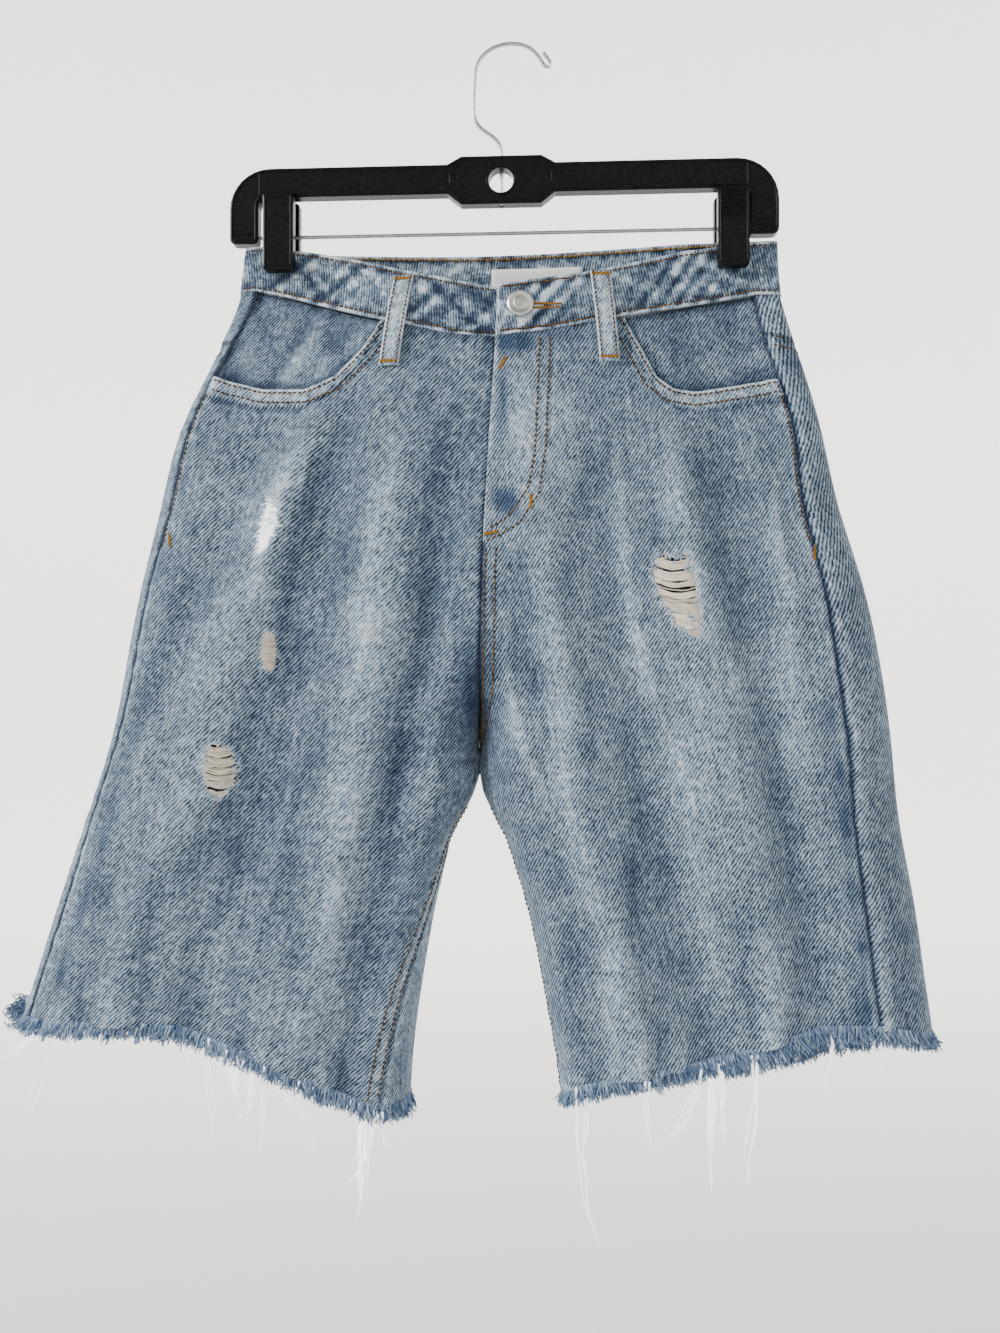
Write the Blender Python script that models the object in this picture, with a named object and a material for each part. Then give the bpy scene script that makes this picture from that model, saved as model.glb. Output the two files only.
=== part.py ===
"""Raw-hem denim shorts, clipped by the waistband to a plastic hanger.

Metres, +Z up. +X is the wearer's left, and the front faces -Y. The origin is where the hanger's
hook rests on its peg. Sizes in the tables are millimetres, and MM turns them into metres.
"""

import math

import bmesh
import bpy
import numpy as np
from mathutils import Vector

MM = 0.001
SEAM_GAP = 0.3 * MM  # between pieces that are sewn edge to edge
DENIM = 1.2 * MM  # one layer of cloth
BAND = 2.4 * MM  # waistband, four layers pressed flat
BAND_PROUD = 0.8 * MM  # how far the waistband's outside stands out from the panels
RIGHT, LEFT = -1, 1  # the wearer's sides

# The height of each section, and what changes with it. "inner" is where a leg's inside edge lies,
# "outer" the silhouette, "inset" how far the side seam lies in front of the silhouette, and
# "inseam" the turn, in radians, that brings the inside seam round to the front.
SECTION = ("z", "inner", "outer", "inset", "inseam")
SECTIONS = {
    RIGHT: (
        (-120, -19, -172, 11, 0.00),
        (-165, -19, -178, 11, 0.00),
        (-200, -19, -192, 8, 0.00),
        (-250, -19, -216, 9, 0.00),
        (-300, -19, -229, 12, 0.00),
        (-350, -19, -241, 11, 0.00),
        (-400, -21, -251, 11, 0.00),
        (-450, -26, -261, 9, 0.00),
        (-500, -35, -277, 8, 0.00),
        (-550, -46, -294, 10, 0.15),
        (-600, -55, -310, 9, 0.35),
        (-650, -62, -325, 7, 0.45),
        (-700, -66, -338, 7, 0.50),
    ),
    LEFT: (
        (-120, -12, 172, 17, 0.00),
        (-165, -12, 174, 17, 0.00),
        (-200, -12, 184, 20, 0.00),
        (-250, -12, 199, 20, 0.00),
        (-300, -12, 210, 26, 0.00),
        (-350, -12, 225, 30, 0.00),
        (-400, -12, 236, 33, 0.00),
        (-450, -11, 243, 33, 0.00),
        (-500, -5, 248, 34, 0.00),
        (-550, 10, 257, 37, 0.00),
        (-600, 21, 264, 38, 0.00),
        (-650, 30, 271, 40, 0.00),
        (-700, 38, 277, 40, 0.00),
    ),
}
# "centre" is the centre seam, "front" and "back" the depth of each face, "edge" the share of that
# depth left where the waist is pinched, and "side_round" and "leg_round" how far in the round
# edges at the silhouette and at the inside of the leg reach.
DEPTH = ("z", "centre", "front", "back", "edge", "side_round", "leg_round")
DEPTHS = (
    (-120, -8, 14, 13, 0.24, 4, 14),
    (-165, -7, 19, 16, 0.20, 5, 14),
    (-200, -8, 23, 20, 0.36, 10, 14),
    (-250, -11, 26, 26, 0.62, 20, 14),
    (-300, -14, 28, 30, 0.82, 28, 14),
    (-350, -16, 30, 32, 0.96, 34, 14),
    (-400, -17, 31, 32, 1.00, 38, 15),
    (-450, -19, 31, 30, 1.00, 40, 17),
    (-500, -20, 31, 29, 1.00, 42, 20),
    (-600, -20, 32, 29, 1.00, 45, 26),
    (-700, -20, 34, 31, 1.00, 48, 30),
)
PINCHED_FROM = 0.8  # share of the way to the silhouette where the clips hold front and back together
CROTCH_Z = -468
CROTCH_Y = 8  # the four panels meet this far behind the middle
FRONT_RISE_START = -385  # where the front's centre seam begins to curve under
BACK_RISE_START = -415
CROTCH_BLEND = 50  # the inside seam reaches the leg's own edge this far below the crotch

# Long soft folds that fan out from the waist: where the crest lies at three heights, the distance
# from crest to foot, and the height. A negative height is a trough.
FOLD = ("side", "face", "high", "middle", "low", "reach", "height")
FOLD_HEIGHTS = (-235, -440, -640)
FOLD_START, FOLD_GROWTH = -215, 110  # folds rise from nothing over this height
FOLDS = (
    (RIGHT, "front", -121, -190, -248, 34, 3.6),
    (RIGHT, "front", -92, -142, -199, 26, -3.0),
    (RIGHT, "front", -54, -93, -136, 30, 3.2),
    (RIGHT, "front", -23, -60, -94, 20, -2.6),
    (LEFT, "front", 6, 42, 84, 26, 3.4),
    (LEFT, "front", 44, 82, 124, 22, -3.2),
    (LEFT, "front", 95, 132, 166, 32, 3.8),
    (LEFT, "front", 136, 166, 199, 24, -3.0),
    (RIGHT, "back", -60, -92, -120, 32, 3.2),
    (RIGHT, "back", -110, -150, -182, 28, -3.0),
    (RIGHT, "back", -158, -205, -250, 30, 3.0),
    (LEFT, "back", 40, 66, 100, 30, 3.2),
    (LEFT, "back", 88, 118, 152, 26, -3.0),
    (LEFT, "back", 140, 168, 205, 32, 3.2),
)

# Rows of every panel, by height at the side seam and at the centre seams, down to the crotch.
YOKE_SEAM = (-190, -215, -238)
BACK_AT_POCKET = -258  # the centre back, level with the pocket's lower end at the side
TORSO_ROWS = (
    (-268, -285, -308),
    (-310, -325, -342),
    (-352, -362, -376),
    (-385, -394, -405),
    (-408, -420, -428),
    (-425, -440, -444),
    (-437, -456, -458),
    (-445, -468, -468),
)
LEG_ROWS = 5
SEAM_TURN = 0.0018  # the turn, in radians, left free beside a side seam or an inside seam
COLUMNS = 20
# Heights along curves that run round each side, by the share of the way from the centre or the
# inside seam to the side seam.
WAIST_SEAM = {
    RIGHT: ((0, -195), (0.16, -193), (0.33, -186), (0.5, -179), (0.68, -171), (0.85, -163), (1, -158)),
    LEFT: ((0, -195), (0.18, -192), (0.35, -186), (0.5, -181), (0.7, -175), (0.86, -170), (1, -166)),
}
WAIST_TOP = {
    RIGHT: ((0, -162), (0.18, -157), (0.4, -149), (0.58, -141), (0.78, -134), (1, -129)),
    LEFT: ((0, -161), (0.15, -158), (0.36, -153), (0.57, -145), (0.74, -138), (1, -132)),
}
BACK_WAIST_SEAM = -168
BACK_WAIST_TOP = {RIGHT: ((0, -132), (0.6, -133), (1, -129)), LEFT: ((0, -132), (0.6, -130), (1, -132))}
POCKET = {
    RIGHT: ((0.44, -182), (0.48, -200), (0.55, -218), (0.64, -226), (0.79, -225), (0.93, -219), (1, -215)),
    LEFT: ((0.48, -182), (0.53, -202), (0.57, -221), (0.62, -229), (0.69, -231), (0.83, -227), (1, -222)),
}
FACING_START = 0.26  # share of the front's turn where a pocket's side piece starts
FACING_LOW = -243  # and how low it reaches behind the panel
FACING_BEHIND = 2.5  # from the panel's outside to the side piece's
HEM = ("share", "front", "back")
HEMS = {
    RIGHT: (
        (0.00, -682, -682),
        (0.10, -674, -685),
        (0.24, -659, -674),
        (0.40, -646, -662),
        (0.56, -634, -650),
        (0.75, -631, -642),
        (1.00, -633, -633),
    ),
    LEFT: (
        (0.00, -680, -680),
        (0.10, -671, -684),
        (0.26, -660, -678),
        (0.44, -653, -668),
        (0.62, -642, -655),
        (0.82, -629, -639),
        (1.00, -626, -626),
    ),
}
FRINGE = 9 * MM

# Belt loops: side, face, place along X at the top and the bottom, and their heights.
LOOP = ("name", "side", "face", "top_x", "low_x", "top_z", "low_z")
LOOPS = (
    ("belt_loop_front_right", RIGHT, "front", -66, -75, -154, -213),
    ("belt_loop_front_left", LEFT, "front", 58, 64, -153, -212),
    ("belt_loop_back_right", RIGHT, "back", -104, -108, -135, -192),
    ("belt_loop_back_left", LEFT, "back", 104, 108, -134, -192),
    ("belt_loop_centre_back", LEFT, "back", -2, -2, -133, -192),
)
LOOP_WIDTH, LOOP_THICKNESS = 12.5 * MM, 1.6 * MM

BUTTON_X, BUTTON_Z = 8, -175
LABEL_X, LABEL_Z = (-12, 48), (-141, -163)

# The long loose threads hang in bunches from the front's fringe: where along X each starts, and
# where it ends.
TUFT = ("name", "side", "x", "end_x", "end_z")
TUFTS = (
    ("thread_tuft_right_outer", RIGHT, -298, -309, -690),
    ("thread_tuft_right_inner", RIGHT, -84, -95, -750),
    ("thread_tuft_left_inner", LEFT, 50, 57, -765),
    ("thread_tuft_left_middle", LEFT, 127, 128, -731),
)
TUFT_DIAMETER = 1.6 * MM

# The hanger. Its bar is one moulding: a straight beam with round shoulders, two arms that hang
# from its ends and a deeper block in the middle, drilled for the hook and pierced by a round hole.
HANGER_X = -5
BAR_HALF, BAR_TOP, BAR_LOW, BAR_THICK = 178, -78, -97, 9
ARM_LOW, ARM_WIDTH, SHOULDER = -127, 19, 27
BLOCK_TOP, BLOCK_LOW, BLOCK_HALF, BLOCK_SLOPE, BLOCK_THICK = -73, -104, 26, 9, 12
HOLE_RADIUS, HOLE_Z = 8.1, -89
WIRE = 2.5
ROD_Z, ROD_DIAMETER = -122, 2.4
HOOK = (  # the wire's centre line, seen from the front, with the peg inside its top bend
    (-5, -103.5), (-5, -88), (-5, -70), (-6, -65), (-10, -59.5), (-18, -53.5), (-22, -48),
    (-23, -40), (-22.6, -28), (-22, -19), (-19.8, -10), (-14, -3.4), (-6.5, 0.2), (1, 1.25),
    (8, 0.4), (14, -2.4), (18.6, -7), (22, -12.2), (24.2, -14.6), (26.6, -14.2), (26.6, -11.6),
    (24.6, -8.4), (22.4, -5.2),
)
JAW = ("side", "x", "top", "low")
JAWS = (("right", -149, -97, -147), ("left", 143, -99, -149.5))
JAW_WIDTH, JAW_THICK, JAW_GAP = 20, 7.5, 5.1


def material(name, colour, roughness, metallic=0.0):
    """A plain surface of the given colour."""
    made = bpy.data.materials.new(name)
    made.use_nodes = True
    shader = made.node_tree.nodes["Principled BSDF"]
    shader.inputs["Base Color"].default_value = (*colour, 1)
    shader.inputs["Roughness"].default_value = roughness
    shader.inputs["Metallic"].default_value = metallic
    return made


class Spline:
    """The natural cubic through the knots, straight beyond its ends."""

    def __init__(self, knots, values):
        order = np.argsort(knots)
        x, y = np.asarray(knots, float)[order], np.asarray(values, float)[order]
        step = np.diff(x)
        slope = np.diff(y) / step
        system = np.eye(len(x))
        right = np.zeros(len(x))
        for i in range(1, len(x) - 1):
            system[i, i - 1 : i + 2] = step[i - 1], 2 * (step[i - 1] + step[i]), step[i]
            right[i] = 6 * (slope[i] - slope[i - 1])
        self.x, self.y, self.step = x, y, step
        self.bend = np.linalg.solve(system, right)
        self.start = slope - step * (2 * self.bend[:-1] + self.bend[1:]) / 6
        self.last = slope[-1] + step[-1] * self.bend[-2] / 6

    def __call__(self, at):
        x, bend = self.x, self.bend
        at = np.asarray(at, float)
        i = np.clip(np.searchsorted(x, at) - 1, 0, len(self.step) - 1)
        t = np.clip(at, x[0], x[-1]) - x[i]
        curl = (bend[i + 1] - bend[i]) / (6 * self.step[i])
        inside = self.y[i] + t * (self.start[i] + t * (bend[i] / 2 + t * curl))
        below, above = np.minimum(at - x[0], 0), np.maximum(at - x[-1], 0)
        return inside + below * self.start[0] + above * self.last


def column(table, names, name):
    return [row[names.index(name)] for row in table]


def smooth(x):
    """0 below 0, 1 above 1, and an S between them."""
    x = np.clip(x, 0, 1)
    return x * x * (3 - 2 * x)


def rounded(x):
    """A quarter of an ellipse, from 0 at 0 to 1 at 1."""
    x = np.clip(x, 0, 1)
    return np.sqrt(np.maximum(2 * x - x * x, 0))


class Leg:
    """One half of the shorts, as a surface. A point has a turn, from 0 at the centre front or the
    inside of the leg, over pi at the silhouette, to 2 pi at the centre back, and a height in mm."""

    def __init__(self, side):
        self.side = side
        self.curves = {}
        for table, names in ((SECTIONS[side], SECTION), (DEPTHS, DEPTH)):
            for name in names[1:]:
                self.curves[name] = Spline(column(table, names, "z"), column(table, names, name))
        self.folds = []
        for row in FOLDS:
            fold = dict(zip(FOLD, row))
            if fold["side"] == side:
                crest = Spline(FOLD_HEIGHTS, (fold["high"], fold["middle"], fold["low"]))
                self.folds.append((crest, fold["face"] == "front", fold["reach"], fold["height"]))

    def at(self, name, z):
        return self.curves[name](z)

    def plain(self, turn, z):
        """The surface without folds, as x, y and z in mm."""
        turn, z = np.broadcast_arrays(np.asarray(turn, float), np.asarray(z, float))
        centre, inner, outer = self.at("centre", z), self.at("inner", z), self.at("outer", z)
        closed_front = smooth((FRONT_RISE_START - z) / (FRONT_RISE_START - CROTCH_Z))
        closed_back = smooth((BACK_RISE_START - z) / (BACK_RISE_START - CROTCH_Z))
        is_front = turn < math.pi
        closed = np.where(is_front, closed_front, closed_back)
        front, back = self.at("front", z), self.at("back", z)
        edge, side_round = self.at("edge", z), self.at("side_round", z)

        across = np.sin(turn / 2)  # 0 on the centre seam, 1 at the silhouette
        width = abs(outer - centre)
        depth = np.where(is_front, -front, back)
        pinch = np.clip(1 - (across / PINCHED_FROM) ** 2, 0, 1) ** 1.4
        open_x = centre + (outer - centre) * across
        open_y = depth * (edge + (1 - edge) * pinch) * rounded(width * (1 - across) / side_round)

        around = np.mod(turn, 2 * math.pi)
        depth = np.where(around < math.pi, -front, back)
        half = (outer - inner) / 2
        along = -np.cos(around)  # -1 at the inside of the leg, 1 at the silhouette
        ring_x = (inner + outer) / 2 + half * along
        ring_y = depth * rounded(abs(half) * (1 - along) / side_round)
        ring_y = ring_y * rounded(abs(half) * (1 + along) / self.at("leg_round", z))
        near_seam = np.exp(-((np.minimum(around, 2 * math.pi - around) / 0.3) ** 2))
        near_seam = near_seam * smooth((z - CROTCH_Z + CROTCH_BLEND) / CROTCH_BLEND)
        ring_x = ring_x + near_seam * (centre - inner)
        ring_y = ring_y + near_seam * CROTCH_Y

        x = (1 - closed) * open_x + closed * ring_x + self.side * SEAM_GAP / MM / 2
        y = (1 - closed) * open_y + closed * ring_y
        return np.stack([x, y, z], -1)

    def facing(self, surface, turn, z):
        """The unit normal that points out of the garment."""
        along = surface(turn + 1e-3, z) - surface(turn - 1e-3, z)
        up = surface(turn, z + 0.2) - surface(turn, z - 0.2)
        normal = np.cross(along, up) * self.side
        return normal / np.linalg.norm(normal, axis=-1, keepdims=True)

    def folded(self, turn, z):
        """The surface with its long folds, as x, y and z in mm."""
        turn, z = np.broadcast_arrays(np.asarray(turn, float), np.asarray(z, float))
        point = self.plain(turn, z)
        is_front = np.mod(turn, 2 * math.pi) < math.pi
        lift = np.zeros(z.shape)
        grown = smooth((FOLD_START - z) / FOLD_GROWTH)
        for crest, in_front, reach, height in self.folds:
            away = np.clip((point[..., 0] - crest(z)) / reach, -1, 1)
            hill = np.cos(away * math.pi / 2) ** 2
            lift += np.where(is_front == in_front, height * hill * grown, 0)
        flat = np.minimum(abs(point[..., 1]) / 20, 1)  # no folds where the cloth turns the corner
        return point + self.facing(self.plain, turn, z) * (lift * smooth(flat))[..., None]

    def ends(self, face, z):
        """The turns where a face starts and ends at one height, centre or inside seam first."""
        start = float(self.at("inseam", z)) if z < CROTCH_Z else 0.0
        turns = np.linspace(start, math.pi, 400)
        x = self.plain(turns, z)[:, 0] * self.side
        seam = self.side * float(self.at("outer", z)) - float(self.at("inset", z))
        side_seam = float(np.interp(seam, x[60:], turns[60:]))
        return (start, side_seam) if face == "front" else (2 * math.pi + start, side_seam)

    def share(self, face, z, turn):
        """How much of the face, by length, lies between its first seam and this turn."""
        start, end = self.ends(face, z)
        turns = np.linspace(start, end, 120)
        points = self.plain(turns, z)
        length = np.append(0, np.cumsum(np.linalg.norm(np.diff(points, axis=0), axis=1)))
        order = np.argsort(turns)
        return float(np.interp(turn, turns[order], length[order])) / length[-1]

    def find(self, face, c, height):
        """The turn and height at column c (0 to 1), where height gives the height for a share."""
        z = height(c)
        for _ in range(4):
            start, end = self.ends(face, z)
            turn = start + (end - start) * c
            z = height(self.share(face, z, turn))
        start, end = self.ends(face, z)
        inward = 1 if end > start else -1
        start += inward * SEAM_TURN * float(smooth((FRONT_RISE_START - z) / 40))
        end -= inward * SEAM_TURN
        return start + (end - start) * c, z

    def grid(self, face, columns, rows, out=0.0):
        """Points and normals on a face, in mm: a row for each height function, moved out."""
        places = [[self.find(face, c, height) for c in columns] for height in rows]
        turn, z = np.moveaxis(np.array(places), -1, 0)
        normal = self.facing(self.folded, turn, z)
        return self.folded(turn, z) + normal * out, normal

    def turn_at(self, face, x, z):
        """The turn where a face is at this x."""
        start, end = self.ends(face, z)
        turns = np.linspace(start, end, 300)
        xs = self.plain(turns, z)[:, 0] * self.side
        return float(np.interp(x * self.side, xs, turns))


LEGS = {RIGHT: Leg(RIGHT), LEFT: Leg(LEFT)}


def wall(name, outside, normals, thickness, finish, ring=False):
    """A closed slab: the outside is a grid of points in metres, and the inside lies behind it."""
    inside = outside - normals * thickness
    rows, columns = outside.shape[:2]
    mesh = bmesh.new()
    skins = [[[mesh.verts.new(p) for p in row] for row in skin] for skin in (outside, inside)]
    steps = range(columns if ring else columns - 1)
    for skin in skins:
        for i in range(rows - 1):
            for j in steps:
                k = (j + 1) % columns
                mesh.faces.new((skin[i][j], skin[i][k], skin[i + 1][k], skin[i + 1][j]))
    top, under = skins
    for i in (0, rows - 1):
        for j in steps:
            k = (j + 1) % columns
            mesh.faces.new((top[i][j], top[i][k], under[i][k], under[i][j]))
    if not ring:
        for j in (0, columns - 1):
            for i in range(rows - 1):
                mesh.faces.new((top[i][j], top[i + 1][j], under[i + 1][j], under[i][j]))
    return finished(name, mesh, finish)


def finished(name, mesh, finish):
    """Turns a bmesh into an object of the scene, with its faces pointing out."""
    bmesh.ops.recalc_face_normals(mesh, faces=mesh.faces)
    data = bpy.data.meshes.new(name)
    mesh.to_mesh(data)
    mesh.free()
    data.materials.append(finish)
    data.shade_smooth()
    data.set_sharp_from_angle(angle=math.radians(35))
    made = bpy.data.objects.new(name, data)
    bpy.context.collection.objects.link(made)
    return made


def curve_height(table, scale=1.0):
    """A height function that follows a table of shares and heights."""
    shares, heights = zip(*table)
    return lambda share: float(np.interp(share, shares, heights)) * scale


def row_height(row, centre):
    """A height function that runs straight from the centre seam to the side seam."""
    return lambda share: row[centre] + (row[0] - row[centre]) * share


def hem_height(side, face):
    table = HEMS[side]
    shares, heights = column(table, HEM, "share"), column(table, HEM, face)
    curve = Spline(shares, heights)
    return lambda share: float(curve(share))


def between(upper, lower, part):
    return lambda share: upper(share) + (lower(share) - upper(share)) * part


def lowered(height, drop):
    return lambda share: height(share) - drop


def leg_rows(side, face, centre):
    crotch, hem = row_height(TORSO_ROWS[-1], centre), hem_height(side, face)
    return [between(crotch, hem, (i + 1) / LEG_ROWS) for i in range(LEG_ROWS)]


def front_top(side):
    """The front panel's upper edge: the waist seam, then the scooped pocket opening."""
    seam, pocket = curve_height(WAIST_SEAM[side]), curve_height(POCKET[side])
    corner = POCKET[side][0][0]
    return lambda share: seam(share) if share < corner else pocket(share)


def names(side):
    return "right" if side == RIGHT else "left"


def make_panels(denim):
    half_gap = SEAM_GAP / MM / 2
    columns = np.linspace(0, 1, COLUMNS + 1)
    for side, leg in LEGS.items():
        top = front_top(side)
        hip = row_height(TORSO_ROWS[0], 1)
        rows = [lowered(top, half_gap), between(top, hip, 0.35), between(top, hip, 0.68)]
        rows += [row_height(row, 1) for row in TORSO_ROWS] + leg_rows(side, "front", 1)
        points, normals = leg.grid("front", columns, rows)
        wall(f"front_{names(side)}", points * MM, normals, DENIM, denim)

        upper = row_height((POCKET[side][-1][1], 0, BACK_AT_POCKET), 2)
        hip = row_height(TORSO_ROWS[0], 2)
        rows = [lowered(row_height(YOKE_SEAM, 2), half_gap), upper]
        rows += [between(upper, hip, 0.35), between(upper, hip, 0.68)]
        rows += [row_height(row, 2) for row in TORSO_ROWS] + leg_rows(side, "back", 2)
        points, normals = leg.grid("back", columns, rows)
        wall(f"back_{names(side)}", points * MM, normals, DENIM, denim)

        seam = row_height((WAIST_SEAM[side][-1][1], 0, BACK_WAIST_SEAM), 2)
        yoke = row_height(YOKE_SEAM, 2)
        rows = [lowered(seam, half_gap), between(seam, yoke, 0.5), lowered(yoke, -half_gap)]
        points, normals = leg.grid("back", columns, rows)
        wall(f"yoke_{names(side)}", points * MM, normals, DENIM, denim)


def make_facings(denim):
    """The side pieces that show inside the scooped pockets."""
    columns = np.linspace(FACING_START, 1, 13)
    for side, leg in LEGS.items():
        seam = lowered(curve_height(WAIST_SEAM[side]), 0.5)
        low = curve_height(((0, FACING_LOW), (0.9, FACING_LOW), (1, FACING_LOW + 6)))
        rows = [between(seam, low, part) for part in (0, 0.33, 0.67, 1)]
        points, normals = leg.grid("front", columns, rows, out=-FACING_BEHIND)
        wall(f"pocket_facing_{names(side)}", points * MM, normals, DENIM, denim)


def make_waistband(denim):
    """One strip from the underlap, round the back, to the buttoned tab that lies over it."""
    quarter = np.linspace(0, 1, 19)
    path = [("under", c) for c in np.linspace(0, 1, 5)[:-1]]
    path += [((RIGHT, "front"), c) for c in quarter[:-1]]
    path += [((RIGHT, "back"), c) for c in quarter[::-1]]
    path += [((LEFT, "back"), c) for c in quarter[:-1]]
    path += [((LEFT, "front"), c) for c in quarter[::-1]]
    layer = (BAND + SEAM_GAP) / MM + 0.2
    grid, facings = [], []
    for part in np.linspace(1, 0, 4):
        points, normals = [], []
        for place, c in path:
            if place == "under":
                leg, face, share = LEGS[LEFT], "front", 0.22 * (1 - c)
                top, low = curve_height(WAIST_TOP[LEFT]), curve_height(WAIST_SEAM[LEFT])
                out = BAND_PROUD / MM - layer
            else:
                side, face = place
                leg, share = LEGS[side], c
                if face == "front":
                    top, low = curve_height(WAIST_TOP[side]), curve_height(WAIST_SEAM[side])
                else:
                    top = curve_height(BACK_WAIST_TOP[side])
                    low = row_height((WAIST_SEAM[side][-1][1], 0, BACK_WAIST_SEAM), 2)
                out = BAND_PROUD / MM
                if place == (RIGHT, "front"):
                    out -= layer * (1 - float(smooth((c - 0.02) / 0.18)))
            raised = lowered(low, -0.3)
            turn, z = leg.find(face, share, between(raised, top, part))
            normal = leg.facing(leg.plain, turn, z)
            points.append(leg.plain(turn, z) + normal * out)
            normals.append(normal)
        grid.append(points)
        facings.append(normals)
    wall("waistband", np.array(grid) * MM, np.array(facings), BAND, denim)


def make_loops(denim):
    for row in LOOPS:
        loop = dict(zip(LOOP, row))
        leg = LEGS[loop["side"]]
        grid, facings = [], []
        for part in np.linspace(0, 1, 7):
            z = loop["top_z"] + (loop["low_z"] - loop["top_z"]) * part
            middle = loop["top_x"] + (loop["low_x"] - loop["top_x"]) * part
            points, normals = [], []
            for share in (-0.5, 0, 0.5):
                x = middle + LOOP_WIDTH / MM * share
                half = LEGS[LEFT] if x > float(leg.at("centre", z)) else LEGS[RIGHT]
                turn = half.turn_at(loop["face"], x, z)
                normal = half.facing(half.plain, turn, z)
                bow = 1.2 * math.sin(math.pi * part)
                out = (BAND_PROUD + LOOP_THICKNESS) / MM + 0.5 + bow
                points.append(half.plain(turn, z) + normal * out)
                normals.append(normal)
            grid.append(points)
            facings.append(normals)
        wall(loop["name"], np.array(grid) * MM, np.array(facings), LOOP_THICKNESS, denim)


def make_label(white):
    leg = LEGS[LEFT]
    grid, facings = [], []
    for z in np.linspace(*LABEL_Z, 3):
        points, normals = [], []
        for x in np.linspace(*LABEL_X, 7):
            half = leg if x > float(leg.at("centre", z)) else LEGS[RIGHT]
            turn = half.turn_at("back", x, z)
            normal = half.facing(half.plain, turn, z)
            points.append(half.plain(turn, z) - normal * ((BAND - BAND_PROUD) / MM + 0.5))
            normals.append(normal)
        grid.append(points)
        facings.append(normals)
    wall("label", np.array(grid) * MM, np.array(facings), 1.0 * MM, white)


def make_fringe(finish):
    """The frayed band below each hem, as a plain ring of its reach."""
    for side, leg in LEGS.items():
        columns = np.linspace(0, 1, COLUMNS + 1)
        grid, facings = [], []
        for drop in (SEAM_GAP / MM, FRINGE / MM / 2, FRINGE / MM):
            points, normals = [], []
            for face, order in (("front", columns[:-1]), ("back", columns[::-1][:-1])):
                height = lowered(hem_height(side, face), drop)
                for c in order:
                    turn, z = leg.find(face, c, height)
                    normal = leg.facing(leg.folded, turn, z)
                    points.append(leg.folded(turn, z))
                    normals.append(normal)
            grid.append(points)
            facings.append(normals)
        wall(f"fringe_{names(side)}", np.array(grid) * MM, np.array(facings), DENIM, finish, ring=True)


def tube(name, points, diameter, finish, resolution=2):
    """A round wire along points in metres, with filled ends."""
    data = bpy.data.curves.new(name, "CURVE")
    data.dimensions = "3D"
    data.bevel_depth = diameter / 2
    data.bevel_resolution = resolution
    data.use_fill_caps = True
    line = data.splines.new("POLY")
    line.points.add(len(points) - 1)
    for spot, point in zip(line.points, points):
        spot.co = (*point, 1)
    data.materials.append(finish)
    made = bpy.data.objects.new(name, data)
    bpy.context.collection.objects.link(made)
    return made


def smooth_route(points, count):
    """Evenly spaced points along the smooth curve through the given ones."""
    points = np.array(points, float)
    length = np.append(0, np.cumsum(np.linalg.norm(np.diff(points, axis=0), axis=1)))
    along = np.linspace(0, length[-1], count)
    return np.stack([Spline(length, points[:, k])(along) for k in range(points.shape[1])], -1)


def make_tufts(finish):
    for row in TUFTS:
        tuft = dict(zip(TUFT, row))
        leg = LEGS[tuft["side"]]
        hem = hem_height(tuft["side"], "front")
        z = hem(0.5)
        for _ in range(4):
            turn = leg.turn_at("front", tuft["x"], z)
            z = hem(leg.share("front", z, turn)) - FRINGE / MM - 1.5
        start = leg.folded(turn, z)
        shift, drop = tuft["end_x"] - start[0], tuft["end_z"] - start[2]
        route = []
        for t in (0, 0.3, 0.65, 1):
            sway = 3 * math.sin(3 * t)
            route.append((start[0] + shift * t**1.4, start[1] + sway, start[2] + drop * t))
        tube(tuft["name"], smooth_route(route, 8) * MM, TUFT_DIAMETER, finish)


def turned(name, profile, centre, finish, segments=32):
    """A solid turned about Y: the profile's rows are distance from the axis and depth, in mm."""
    mesh = bmesh.new()
    rings = []
    for radius, depth in profile:
        angles = [2 * math.pi * i / segments for i in range(segments)]
        if radius == 0:
            rings.append([mesh.verts.new((0, depth * MM, 0))])
        else:
            around = [(radius * math.cos(a), depth, radius * math.sin(a)) for a in angles]
            rings.append([mesh.verts.new(Vector(spot) * MM) for spot in around])
    for near, far in zip(rings, rings[1:]):
        for i in range(segments):
            k = (i + 1) % segments
            corners = [near[i % len(near)], near[k % len(near)], far[k % len(far)], far[i % len(far)]]
            mesh.faces.new(tuple(dict.fromkeys(corners)))
    made = finished(name, mesh, finish)
    made.location = centre
    return made


def make_button(metal):
    """A shank button: a shallow dome with two plain rings, square to the tab it closes."""
    leg = LEGS[LEFT]
    turn = leg.turn_at("front", BUTTON_X, BUTTON_Z)
    normal = leg.facing(leg.plain, turn, BUTTON_Z)
    point = leg.plain(turn, BUTTON_Z) + normal * (BAND_PROUD / MM + 0.6)
    profile = ((0, 0), (4, 0), (4, -0.8), (8.2, -0.8), (8.6, -1.4), (8.3, -2.4), (7.3, -3.0),
               (6.6, -2.8), (4.6, -2.5), (3.6, -2.9), (0, -3.0))
    made = turned("button", profile, Vector(point * MM), metal)
    made.rotation_mode = "QUATERNION"
    made.rotation_quaternion = Vector((0, -1, 0)).rotation_difference(Vector(normal))
    return made


def arc(centre_x, centre_z, radius, start, end, steps):
    """Points on an arc, with angles in degrees from +X towards +Z."""
    angles = [math.radians(start + (end - start) * i / steps) for i in range(steps + 1)]
    return [(centre_x + radius * math.cos(a), centre_z + radius * math.sin(a)) for a in angles]


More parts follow.
